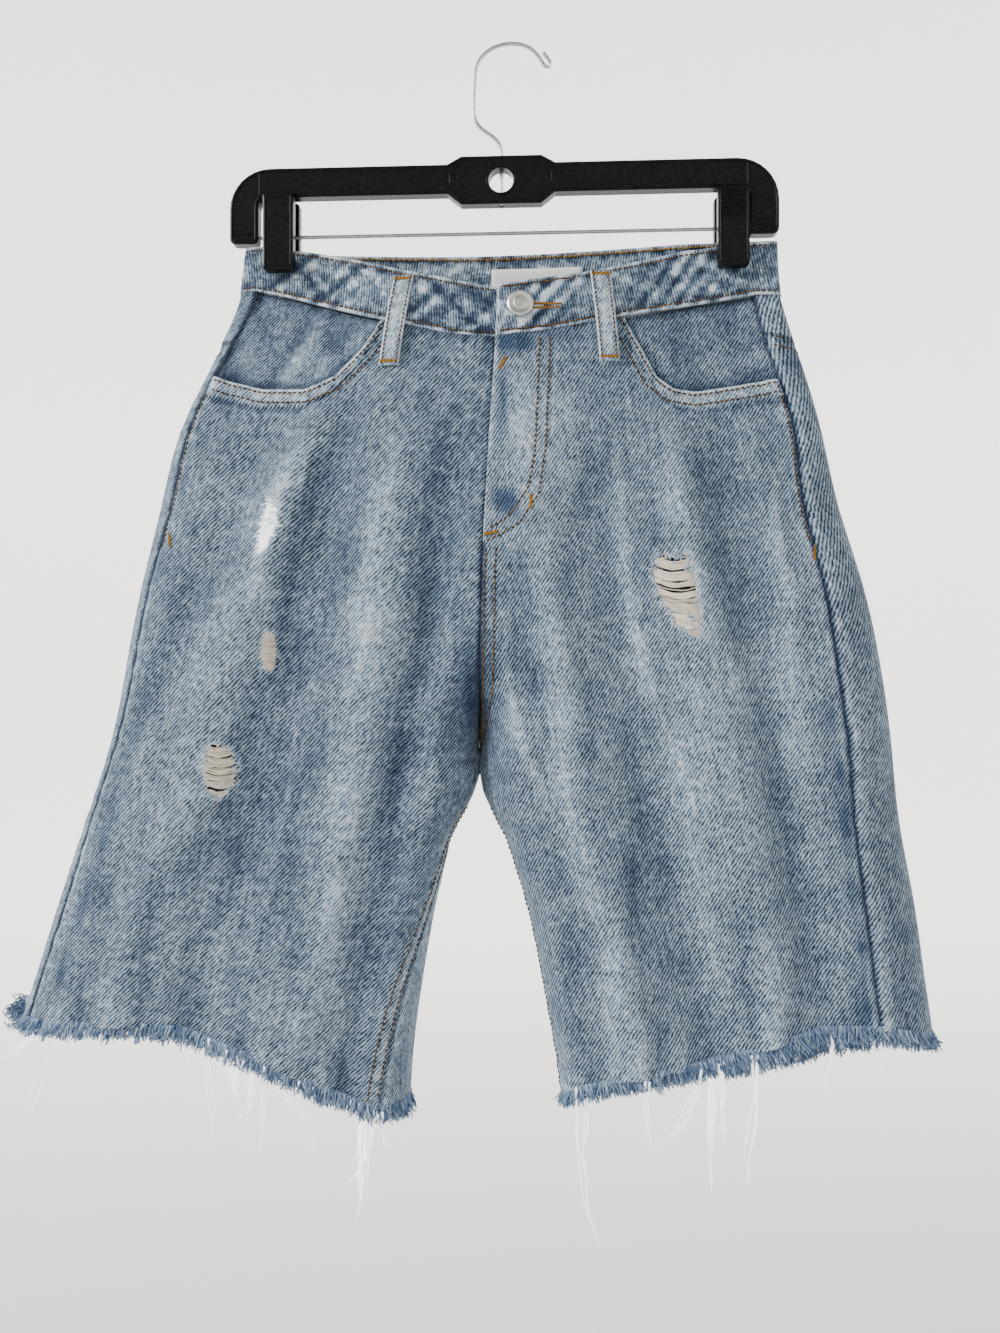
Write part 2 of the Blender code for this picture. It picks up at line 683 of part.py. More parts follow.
def plate(name, outline, thickness, finish, bevel=0.0, middle_y=0.0):
    """An outline of x and z in mm, extruded along Y about middle_y."""
    mesh = bmesh.new()
    front = [mesh.verts.new((x * MM, (middle_y - thickness / 2) * MM, z * MM)) for x, z in outline]
    face = mesh.faces.new(front)
    pulled = bmesh.ops.extrude_face_region(mesh, geom=[face])["geom"]
    moved = [v for v in pulled if isinstance(v, bmesh.types.BMVert)]
    bmesh.ops.translate(mesh, vec=(0, thickness * MM, 0), verts=moved)
    made = finished(name, mesh, finish)
    if bevel:
        softened = made.modifiers.new("Soft edges", "BEVEL")
        softened.width = bevel * MM
        softened.segments = 2
        softened.limit_method = "ANGLE"
        softened.angle_limit = math.radians(40)
    return made


def cut(target, cutter):
    """Takes the cutter out of the target, and keeps it only as a guide."""
    cutter.hide_render = True
    cutter.display_type = "WIRE"
    hole = target.modifiers.new("Hole", "BOOLEAN")
    hole.operation = "DIFFERENCE"
    hole.object = cutter


def cylinder(name, radius, length, finish, axis, centre, segments=32):
    mesh = bmesh.new()
    bmesh.ops.create_cone(
        mesh, cap_ends=True, segments=segments, radius1=radius * MM, radius2=radius * MM, depth=length * MM
    )
    made = finished(name, mesh, finish)
    made.rotation_mode = "QUATERNION"
    made.rotation_quaternion = Vector((0, 0, 1)).rotation_difference(Vector(axis))
    made.location = Vector(centre) * MM
    return made


def make_hanger(plastic, steel):
    half, inner = BAR_HALF, BAR_HALF - ARM_WIDTH
    right_side = [(BLOCK_HALF, BLOCK_TOP), (BLOCK_HALF + BLOCK_SLOPE, BAR_TOP)]
    right_side += arc(half - SHOULDER, BAR_TOP - SHOULDER, SHOULDER, 90, 0, 8)
    right_side += arc(half - 4, ARM_LOW + 4, 4, 0, -90, 3) + arc(inner + 3, ARM_LOW + 3, 3, -90, -180, 3)
    right_side += arc(inner - 6, BAR_LOW - 6, 6, 0, 90, 3)
    right_side += [(BLOCK_HALF + BLOCK_SLOPE, BAR_LOW), (BLOCK_HALF, BLOCK_LOW)]
    outline = right_side + [(-x, z) for x, z in reversed(right_side)]
    outline = [(HANGER_X + x, z) for x, z in outline]
    bar = plate("hanger_bar", outline, BAR_THICK, plastic, bevel=0.8)
    hole = cylinder("hole_cutter", HOLE_RADIUS, 40, plastic, (0, 1, 0), (HANGER_X, 0, HOLE_Z))
    cut(bar, hole)
    bore = cylinder("bore_cutter", WIRE / 2 + 0.3, 60, plastic, (0, 0, 1), (HANGER_X, 0, HOLE_Z), 24)
    cut(bar, bore)

    route = smooth_route([(x, 0, z) for x, z in HOOK], 64)
    tube("hanger_hook", route * MM, WIRE * MM, steel)
    span = [(HANGER_X + sign * (inner - SEAM_GAP / MM), 0, ROD_Z) for sign in (-1, 1)]
    tube("hanger_rod", np.array(span) * MM, ROD_DIAMETER * MM, steel, 3)


def make_clips(plastic, steel):
    """Each clip has two jaws, and a bent spring over the rod that presses them together."""
    for row in JAWS:
        clip = dict(zip(JAW, row))
        x, top, low, half = clip["x"], clip["top"], clip["low"], JAW_WIDTH / 2
        outline = arc(x + half - 2, top - 2, 2, 90, 0, 2) + arc(x + half - 2, low + 2, 2, 0, -90, 2)
        outline += arc(x - half + 2, low + 2, 2, -90, -180, 2) + arc(x - half + 2, top - 2, 2, 180, 90, 2)
        for face, sign in (("front", -1), ("back", 1)):
            middle = sign * (JAW_GAP + JAW_THICK / 2)
            plate(f"clip_{clip['side']}_{face}_jaw", outline, JAW_THICK, plastic, 0.8, middle)
        spring_top = ROD_Z + 12
        path = [(JAW_GAP - 0.8, ROD_Z - 3), (JAW_GAP - 0.8, spring_top - 3), (JAW_GAP - 3, spring_top)]
        path += [(-y, z) for y, z in reversed(path)]
        strip = np.array([[(x + w, y, z) for w in (-4, 4)] for y, z in path])
        normals = []
        for i in range(len(path)):
            before, after = path[max(i - 1, 0)], path[min(i + 1, len(path) - 1)]
            step = np.array([after[0] - before[0], after[1] - before[1]])
            step = step / np.linalg.norm(step)
            normals.append([(0, step[1], -step[0])] * 2)
        wall(f"clip_{clip['side']}_spring", strip * MM, np.array(normals), 0.7 * MM, steel)


def main():
    for old in list(bpy.data.objects):
        bpy.data.objects.remove(old)
    denim = material("Denim", (0.28, 0.40, 0.55), 0.9)
    frayed = material("Frayed denim", (0.22, 0.36, 0.55), 0.95)
    thread = material("Loose thread", (0.85, 0.85, 0.82), 0.9)
    white = material("Label cloth", (0.86, 0.86, 0.84), 0.7)
    metal = material("Button metal", (0.72, 0.71, 0.68), 0.35, 1.0)
    steel = material("Hanger wire", (0.55, 0.55, 0.54), 0.3, 1.0)
    plastic = material("Black plastic", (0.02, 0.02, 0.022), 0.45)
    make_panels(denim)
    make_facings(denim)
    make_waistband(denim)
    make_loops(denim)
    make_label(white)
    make_fringe(frayed)
    make_tufts(thread)
    make_button(metal)
    make_hanger(plastic, steel)
    make_clips(plastic, steel)


main()
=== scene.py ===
"""The finish of the denim shorts and their clip hanger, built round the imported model.

Sizes are millimetres in the tables, turned into metres by MM. Lengths along the cloth are metres.
The form of the cloth repeats the section tables of the CAD model, so that each shell lies on its
solid, and adds the smaller creases, the seams, the worn places and the loose yarn.
"""

import math
import random

import bpy
import numpy as np
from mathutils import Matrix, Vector
from mathutils.bvhtree import BVHTree


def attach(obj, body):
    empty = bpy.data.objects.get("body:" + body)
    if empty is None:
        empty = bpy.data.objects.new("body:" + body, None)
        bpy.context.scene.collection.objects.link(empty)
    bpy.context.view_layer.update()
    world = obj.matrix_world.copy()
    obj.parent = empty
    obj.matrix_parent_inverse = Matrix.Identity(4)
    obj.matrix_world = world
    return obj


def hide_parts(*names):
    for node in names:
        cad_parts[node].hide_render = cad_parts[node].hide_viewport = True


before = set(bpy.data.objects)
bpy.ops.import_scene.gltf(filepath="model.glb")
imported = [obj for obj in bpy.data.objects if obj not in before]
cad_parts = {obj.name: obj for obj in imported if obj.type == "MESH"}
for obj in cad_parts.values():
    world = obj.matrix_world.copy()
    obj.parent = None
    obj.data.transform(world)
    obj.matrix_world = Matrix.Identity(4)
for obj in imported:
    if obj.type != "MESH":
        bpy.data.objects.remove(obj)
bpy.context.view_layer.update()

MM = 0.001
RIGHT, LEFT = -1, 1  # the wearer's sides: RIGHT is -X
BODY = "root"

# ---------------------------------------------------------------- form of the cloth

SEAM_GAP = 0.3
DENIM = 1.2
BAND = 2.4
BAND_PROUD = 0.8
SECTION = ("z", "inner", "outer", "inset", "inseam")
SECTIONS = {
    RIGHT: (
        (-120, -19, -172, 11, 0.00),
        (-165, -19, -178, 11, 0.00),
        (-200, -19, -192, 8, 0.00),
        (-250, -19, -216, 9, 0.00),
        (-300, -19, -229, 12, 0.00),
        (-350, -19, -241, 11, 0.00),
        (-400, -21, -251, 11, 0.00),
        (-450, -26, -261, 9, 0.00),
        (-500, -35, -277, 8, 0.00),
        (-550, -46, -294, 10, 0.15),
        (-600, -55, -310, 9, 0.35),
        (-650, -62, -325, 7, 0.45),
        (-700, -66, -338, 7, 0.50),
    ),
    LEFT: (
        (-120, -12, 172, 17, 0.00),
        (-165, -12, 174, 17, 0.00),
        (-200, -12, 184, 20, 0.00),
        (-250, -12, 199, 20, 0.00),
        (-300, -12, 210, 26, 0.00),
        (-350, -12, 225, 30, 0.00),
        (-400, -12, 236, 33, 0.00),
        (-450, -11, 243, 33, 0.00),
        (-500, -5, 248, 34, 0.00),
        (-550, 10, 257, 37, 0.00),
        (-600, 21, 264, 38, 0.00),
        (-650, 30, 271, 40, 0.00),
        (-700, 38, 277, 40, 0.00),
    ),
}
DEPTH = ("z", "centre", "front", "back", "edge", "side_round", "leg_round")
DEPTHS = (
    (-120, -8, 14, 13, 0.24, 4, 14),
    (-165, -7, 19, 16, 0.20, 5, 14),
    (-200, -8, 23, 20, 0.36, 10, 14),
    (-250, -11, 26, 26, 0.62, 20, 14),
    (-300, -14, 28, 30, 0.82, 28, 14),
    (-350, -16, 30, 32, 0.96, 34, 14),
    (-400, -17, 31, 32, 1.00, 38, 15),
    (-450, -19, 31, 30, 1.00, 40, 17),
    (-500, -20, 31, 29, 1.00, 42, 20),
    (-600, -20, 32, 29, 1.00, 45, 26),
    (-700, -20, 34, 31, 1.00, 48, 30),
)
PINCHED_FROM = 0.8
CROTCH_Z, CROTCH_Y, CROTCH_BLEND = -468, 8, 50
FRONT_RISE_START, BACK_RISE_START = -385, -415

# Long folds by leg and face: crest along X at three heights, reach from crest to foot, and height.
FOLD = ("high", "middle", "low", "reach", "height")
FOLD_HEIGHTS = (-235, -440, -640)
FOLD_START, FOLD_GROWTH = -215, 110
FOLDS = {
    (RIGHT, "front"): (
        (-121, -190, -248, 34, 3.6),
        (-92, -142, -199, 26, -3.0),
        (-54, -93, -136, 30, 3.2),
        (-23, -60, -94, 20, -2.6),
    ),
    (LEFT, "front"): (
        (6, 42, 84, 26, 3.4),
        (44, 82, 124, 22, -3.2),
        (95, 132, 166, 32, 3.8),
        (136, 166, 199, 24, -3.0),
    ),
    (RIGHT, "back"): (
        (-60, -92, -120, 32, 3.2),
        (-110, -150, -182, 28, -3.0),
        (-158, -205, -250, 30, 3.0),
    ),
    (LEFT, "back"): (
        (40, 66, 100, 30, 3.2),
        (88, 118, 152, 26, -3.0),
        (140, 168, 205, 32, 3.2),
    ),
}

YOKE_SEAM = (-190, -215, -238)
WAIST_SEAM = {
    RIGHT: ((0, -195), (0.16, -193), (0.33, -186), (0.5, -179), (0.68, -171), (0.85, -163), (1, -158)),
    LEFT: ((0, -195), (0.18, -192), (0.35, -186), (0.5, -181), (0.7, -175), (0.86, -170), (1, -166)),
}
WAIST_TOP = {
    RIGHT: ((0, -162), (0.18, -157), (0.4, -149), (0.58, -141), (0.78, -134), (1, -129)),
    LEFT: ((0, -161), (0.15, -158), (0.36, -153), (0.57, -145), (0.74, -138), (1, -132)),
}
BACK_WAIST_SEAM = -168
BACK_WAIST_TOP = {RIGHT: ((0, -132), (0.6, -133), (1, -129)), LEFT: ((0, -132), (0.6, -130), (1, -132))}
POCKET = {
    RIGHT: (
        (0.44, -182), (0.48, -200), (0.55, -218), (0.64, -226), (0.79, -225), (0.93, -219), (1, -215),
    ),
    LEFT: (
        (0.48, -182), (0.53, -202), (0.57, -221), (0.62, -229), (0.69, -231), (0.83, -227), (1, -222),
    ),
}
HEM = ("share", "front", "back")
HEMS = {
    RIGHT: (
        (0.00, -682, -682),
        (0.10, -674, -685),
        (0.24, -659, -674),
        (0.40, -646, -662),
        (0.56, -634, -650),
        (0.75, -631, -642),
        (1.00, -633, -633),
    ),
    LEFT: (
        (0.00, -680, -680),
        (0.10, -671, -684),
        (0.26, -660, -678),
        (0.44, -653, -668),
        (0.62, -642, -655),
        (0.82, -629, -639),
        (1.00, -626, -626),
    ),
}


class Spline:
    """The natural cubic through the knots, straight beyond its ends."""

    def __init__(self, knots, values):
        order = np.argsort(knots)
        x, y = np.asarray(knots, float)[order], np.asarray(values, float)[order]
        step = np.diff(x)
        slope = np.diff(y) / step
        system = np.eye(len(x))
        right = np.zeros(len(x))
        for i in range(1, len(x) - 1):
            system[i, i - 1 : i + 2] = step[i - 1], 2 * (step[i - 1] + step[i]), step[i]
            right[i] = 6 * (slope[i] - slope[i - 1])
        self.x, self.y, self.step = x, y, step
        self.bend = np.linalg.solve(system, right)
        self.start = slope - step * (2 * self.bend[:-1] + self.bend[1:]) / 6
        self.last = slope[-1] + step[-1] * self.bend[-2] / 6

    def __call__(self, at):
        x, bend = self.x, self.bend
        at = np.asarray(at, float)
        i = np.clip(np.searchsorted(x, at) - 1, 0, len(self.step) - 1)
        t = np.clip(at, x[0], x[-1]) - x[i]
        curl = (bend[i + 1] - bend[i]) / (6 * self.step[i])
        inside = self.y[i] + t * (self.start[i] + t * (bend[i] / 2 + t * curl))
        below, above = np.minimum(at - x[0], 0), np.maximum(at - x[-1], 0)
        return inside + below * self.start[0] + above * self.last


def column(table, names, name):
    return [row[names.index(name)] for row in table]


def smooth(x):
    x = np.clip(x, 0, 1)
    return x * x * (3 - 2 * x)


def rounded(x):
    x = np.clip(x, 0, 1)
    return np.sqrt(np.maximum(2 * x - x * x, 0))


def bell(at, wide, middle=0.0):
    """A soft ridge of height 1 across a length, about its middle."""
    return np.exp(-(((at - middle) / wide) ** 2))


LEVELS = np.linspace(-740, -110, 316)  # heights at which each leg is measured once
SAMPLES = 161

# X of the straight thread down the middle of each leg, at these heights.
GRAIN_HEIGHTS = (-720, -640, -440, -200)
GRAIN = {RIGHT: (-212, -192, -145, -98), LEFT: (172, 158, 120, 84)}


class Leg:
    """One half of the shorts. A point has a turn, 0 at the centre front, pi at the silhouette and
    2 pi at the centre back, and a height in mm. c runs along a face from its first seam, at the
    centre or the inside of the leg, to the side seam, and share is the same measured by length."""

    def __init__(self, side):
        self.side = side
        self.curves = {}
        for table, names in ((SECTIONS[side], SECTION), (DEPTHS, DEPTH)):
            for name in names[1:]:
                self.curves[name] = Spline(column(table, names, "z"), column(table, names, name))
        self.folds = []
        for face in ("front", "back"):
            for row in FOLDS[side, face]:
                fold = dict(zip(FOLD, row))
                crest = Spline(FOLD_HEIGHTS, (fold["high"], fold["middle"], fold["low"]))
                self.folds.append((crest, face == "front", fold["reach"], fold["height"]))
        self.measure()

    def at(self, name, z):
        return self.curves[name](z)

    def plain(self, turn, z):
        turn, z = np.broadcast_arrays(np.asarray(turn, float), np.asarray(z, float))
        centre, inner, outer = self.at("centre", z), self.at("inner", z), self.at("outer", z)
        closed_front = smooth((FRONT_RISE_START - z) / (FRONT_RISE_START - CROTCH_Z))
        closed_back = smooth((BACK_RISE_START - z) / (BACK_RISE_START - CROTCH_Z))
        is_front = turn < math.pi
        closed = np.where(is_front, closed_front, closed_back)
        front, back = self.at("front", z), self.at("back", z)
        edge, side_round = self.at("edge", z), self.at("side_round", z)

        across = np.sin(turn / 2)
        width = abs(outer - centre)
        depth = np.where(is_front, -front, back)
        pinch = np.clip(1 - (across / PINCHED_FROM) ** 2, 0, 1) ** 1.4
        open_x = centre + (outer - centre) * across
        open_y = depth * (edge + (1 - edge) * pinch) * rounded(width * (1 - across) / side_round)

        around = np.mod(turn, 2 * math.pi)
        depth = np.where(around < math.pi, -front, back)
        half = (outer - inner) / 2
        along = -np.cos(around)
        ring_x = (inner + outer) / 2 + half * along
        ring_y = depth * rounded(abs(half) * (1 - along) / side_round)
        ring_y = ring_y * rounded(abs(half) * (1 + along) / self.at("leg_round", z))
        near_seam = bell(np.minimum(around, 2 * math.pi - around), 0.3)
        near_seam = near_seam * smooth((z - CROTCH_Z + CROTCH_BLEND) / CROTCH_BLEND)
        ring_x = ring_x + near_seam * (centre - inner)
        ring_y = ring_y + near_seam * CROTCH_Y

        x = (1 - closed) * open_x + closed * ring_x + self.side * SEAM_GAP / 2
        y = (1 - closed) * open_y + closed * ring_y
        return np.stack([x, y, z], -1)

    def facing(self, surface, turn, z):
        along = surface(turn + 1e-3, z) - surface(turn - 1e-3, z)
        up = surface(turn, z + 0.2) - surface(turn, z - 0.2)
        normal = np.cross(along, up) * self.side
        return normal / np.linalg.norm(normal, axis=-1, keepdims=True)

    def folded(self, turn, z):
        turn, z = np.broadcast_arrays(np.asarray(turn, float), np.asarray(z, float))
        point = self.plain(turn, z)
        is_front = np.mod(turn, 2 * math.pi) < math.pi
        lift = np.zeros(z.shape)
        grown = smooth((FOLD_START - z) / FOLD_GROWTH)
        for crest, in_front, reach, height in self.folds:
            away = np.clip((point[..., 0] - crest(z)) / reach, -1, 1)
            hill = np.cos(away * math.pi / 2) ** 2
            lift += np.where(is_front == in_front, height * hill * grown, 0)
        flat = np.minimum(abs(point[..., 1]) / 20, 1)
        return point + self.facing(self.plain, turn, z) * (lift * smooth(flat))[..., None]

    def hills(self, face, x, z):
        """The height in mm of the long folds at arrays of x and z."""
        total = np.zeros(np.shape(z))
        for crest, in_front, reach, height in self.folds:
            if in_front == (face == "front"):
                away = np.clip((x - crest(z)) / reach, -1, 1)
                total += height * np.cos(away * math.pi / 2) ** 2
        return total * smooth((FOLD_START - z) / FOLD_GROWTH)

    def measure(self):
        """Where each face starts and ends at each level, and how long it is up to each c."""
        starts = np.where(LEVELS < CROTCH_Z, self.at("inseam", LEVELS), 0.0)
        turns = np.linspace(0.3, math.pi, 500)
        x = self.plain(turns[None, :], LEVELS[:, None])[..., 0] * self.side
        seam = self.side * self.at("outer", LEVELS) - self.at("inset", LEVELS)
        sides = np.array([np.interp(s, row, turns) for s, row in zip(seam, x)])
        self.first = {"front": starts, "back": 2 * math.pi + starts}
        self.side_seam = sides
        self.lengths = {}
        for face in ("front", "back"):
            c = np.linspace(0, 1, SAMPLES)[None, :]
            turn = self.first[face][:, None] + (sides - self.first[face])[:, None] * c
            points = self.plain(turn, LEVELS[:, None])
            step = np.linalg.norm(np.diff(points, axis=1), axis=-1)
            self.lengths[face] = np.concatenate([np.zeros((len(LEVELS), 1)), np.cumsum(step, 1)], 1)
        self.grains = {}
        middle = Spline(GRAIN_HEIGHTS, GRAIN[self.side])(LEVELS) * self.side
        for face in ("front", "back"):
            c = np.linspace(0, 1, 200)
            found = []
            for z, x in zip(LEVELS, middle):
                xs = self.plain(self.turn_of(face, c, z), z)[:, 0] * self.side
                found.append(float(self.length(face, np.interp(x, xs, c), z)))
            self.grains[face] = np.array(found)

    def turn_of(self, face, c, z):
        start = np.interp(z, LEVELS, self.first[face])
        end = np.interp(z, LEVELS, self.side_seam)
        return start + (end - start) * c

    def length(self, face, c, z):
        """The length in mm from the face's first seam to c, at height z."""
        c, z = np.broadcast_arrays(np.asarray(c, float), np.asarray(z, float))
        row = np.clip((z - LEVELS[0]) / (LEVELS[1] - LEVELS[0]), 0, len(LEVELS) - 1.001)
        col = np.clip(c * (SAMPLES - 1), 0, SAMPLES - 1.001)
        i, j = row.astype(int), col.astype(int)
        u, v = row - i, col - j
        t = self.lengths[face]
        low = t[i, j] * (1 - v) + t[i, j + 1] * v
        high = t[i + 1, j] * (1 - v) + t[i + 1, j + 1] * v
        return low * (1 - u) + high * u

    def height(self, face, c, curve):
        """The height at each c where curve gives it by share."""
        z = curve(c)
        for _ in range(4):
            z = curve(self.length(face, c, z) / self.length(face, 1.0, z))
        return z

    def c_at(self, face, x, z):
        """The c at which the face passes this x."""
        c = np.linspace(0, 1, 400)
        xs = self.plain(self.turn_of(face, c, z), z)[:, 0] * self.side
        return float(np.interp(x * self.side, xs, c))

    def grain(self, face, z):
        """The length from the face's first seam to the straight thread down the middle of the leg."""
        return np.interp(z, LEVELS, self.grains[face])

    def put(self, face, c, z, out=0.0, folded=True):
        """Points in mm on a face, moved out along its normal, and those normals."""
        surface = self.folded if folded else self.plain
        turn = self.turn_of(face, c, z)
        normal = self.facing(surface, turn, z)
        return surface(turn, z) + normal * out, normal


LEGS = {RIGHT: Leg(RIGHT), LEFT: Leg(LEFT)}


def by_points(table):
    """Heights by share, straight from point to point."""
    shares, heights = zip(*table)
    return lambda share: np.interp(share, shares, heights)


def from_seam(side_z, centre_z):
    """Heights by share, straight from the centre to the side."""
    return lambda share: centre_z + (side_z - centre_z) * np.asarray(share, float)


def hem_curve(side, face):
    return Spline(column(HEMS[side], HEM, "share"), column(HEMS[side], HEM, face))


def side_name(side):
    return "right" if side == RIGHT else "left"


# ---------------------------------------------------------------- small creases and worn places

# Creases by leg and face: ends and width of each soft ridge or trough, and its height (negative is
# a trough). They fade in at the first end and out at the second.
CREASE = ("x1", "z1", "x2", "z2", "width", "height")
CREASES = {
    (RIGHT, "front"): (
        (-112, -228, -150, -330, 9, 1.5),
        (-140, -232, -182, -352, 8, -1.4),
        (-165, -232, -205, -330, 7, 1.2),
        (-70, -205, -96, -318, 9, 1.3),
        (-40, -215, -58, -340, 8, -1.2),
        (-120, -372, -64, -356, 10, 1.0),
        (-96, -446, -40, -418, 9, 1.1),
        (-110, -470, -38, -448, 8, -1.1),
        (-30, -470, -86, -540, 9, 1.3),
        (-200, -420, -246, -455, 9, -1.0),
        (-204, -498, -262, -520, 10, 1.0),
        (-165, -500, -190, -612, 8, 1.1),
        (-120, -560, -142, -650, 7, -1.2),
        (-212, -540, -232, -622, 8, -1.1),
        (-256, -548, -276, -622, 7, 1.0),
    ),
    (LEFT, "front"): (
        (26, -210, 20, -292, 8, -0.9),
        (40, -222, 62, -330, 9, 1.3),
        (72, -236, 94, -318, 8, -1.2),
        (112, -236, 122, -352, 8, 1.3),
        (150, -236, 166, -330, 8, 1.2),
        (130, -330, 168, -312, 9, 0.9),
        (-4, -372, 52, -392, 9, 1.2),
        (-6, -398, 60, -424, 8, -1.2),
        (-2, -430, 46, -498, 9, 1.2),
        (120, -470, 176, -448, 10, 0.9),
        (150, -520, 206, -498, 9, -1.0),
        (66, -540, 92, -642, 8, 1.2),
        (120, -560, 134, -640, 7, -1.1),
        (176, -540, 196, -628, 8, 1.1),
        (214, -470, 236, -560, 8, -0.9),
    ),
    (RIGHT, "back"): (
        (-40, -250, -58, -360, 10, 1.3),
        (-86, -246, -104, -352, 9, -1.2),
        (-130, -246, -170, -370, 9, 1.3),
        (-30, -430, -96, -470, 10, -1.3),
        (-36, -452, -120, -498, 9, 1.2),
        (-150, -520, -190, -640, 9, -1.3),
        (-90, -560, -104, -670, 8, 1.2),
        (-236, -500, -276, -614, 8, 1.1),
    ),
    (LEFT, "back"): (
        (30, -250, 40, -364, 9, -1.2),
        (76, -246, 98, -350, 10, 1.3),
        (120, -244, 150, -372, 9, -1.2),
        (8, -430, 86, -466, 9, 1.3),
        (14, -456, 104, -500, 10, -1.2),
        (124, -520, 148, -640, 9, 1.2),
        (62, -560, 82, -662, 8, -1.2),
        (206, -480, 226, -610, 8, 1.1),
    ),
}

# Broad soft folds, by the ends of each and its half width: how much it stands out and how much lighter it
# is painted, both negative in a trough. A crest is paler from rubbing, and the darkening of a trough is
# painted shade.
SOFT_FOLD = ("x1", "z1", "x2", "z2", "width", "height", "light")
SOFT_FOLDS = {
    (RIGHT, "front"): (
        (-98, -236, -144, -404, 8, -1.2, -0.17),
        (-30, -228, -50, -396, 9, -1.1, -0.15),
        (-150, -410, -178, -525, 7, -1.0, -0.15),
        (-48, -370, -70, -560, 8, -1.1, -0.15),
        (-112, -424, -130, -618, 7, -0.8, -0.10),
        (-186, -330, -226, -466, 8, -0.9, -0.10),
        (-208, -520, -226, -630, 8, -0.9, -0.13),
        (-120, -252, -160, -365, 7, 0.9, 0.20),
        (-66, -262, -88, -430, 9, 0.9, 0.13),
        (-166, -540, -186, -640, 9, 0.8, 0.15),
        (-86, -452, -106, -646, 9, 0.8, 0.13),
        (-204, -400, -244, -540, 9, 0.7, 0.12),
        (-14, -560, -34, -660, 7, 0.6, 0.12),
    ),
    (LEFT, "front"): (
        (10, -330, 34, -464, 8, -1.1, -0.16),
        (44, -290, 52, -430, 6, -1.0, -0.16),
        (70, -262, 114, -487, 4.5, 1.0, 0.24),
        (88, -256, 126, -420, 8, -0.9, -0.14),
        (124, -262, 152, -400, 10, -0.9, -0.14),
        (-1, -386, 27, -490, 3.5, 0.9, 0.24),
        (168, -280, 176, -360, 4, 0.8, 0.22),
        (84, -486, 98, -656, 8, -1.0, -0.14),
        (148, -536, 156, -645, 9, -1.1, -0.17),
        (56, -400, 66, -560, 7, -0.8, -0.10),
        (34, -372, 58, -560, 9, 0.9, 0.14),
        (122, -368, 136, -620, 9, 0.9, 0.14),
        (178, -330, 200, -540, 8, 0.7, 0.12),
        (34, -226, 44, -330, 8, 0.8, 0.13),
        (66, -560, 74, -668, 8, 0.8, 0.13),
    ),
    (RIGHT, "back"): (
        (-64, -250, -92, -420, 9, -1.1, -0.13),
        (-120, -262, -150, -440, 9, 1.0, 0.13),
        (-110, -470, -150, -650, 9, -1.0, -0.13),
        (-190, -460, -230, -630, 9, 0.9, 0.13),
    ),
    (LEFT, "back"): (
        (52, -250, 70, -420, 9, 1.0, 0.13),
        (112, -262, 136, -440, 9, -1.1, -0.13),
        (90, -470, 116, -650, 9, 1.0, 0.13),
        (170, -460, 196, -630, 9, -0.9, -0.13),
    ),
}

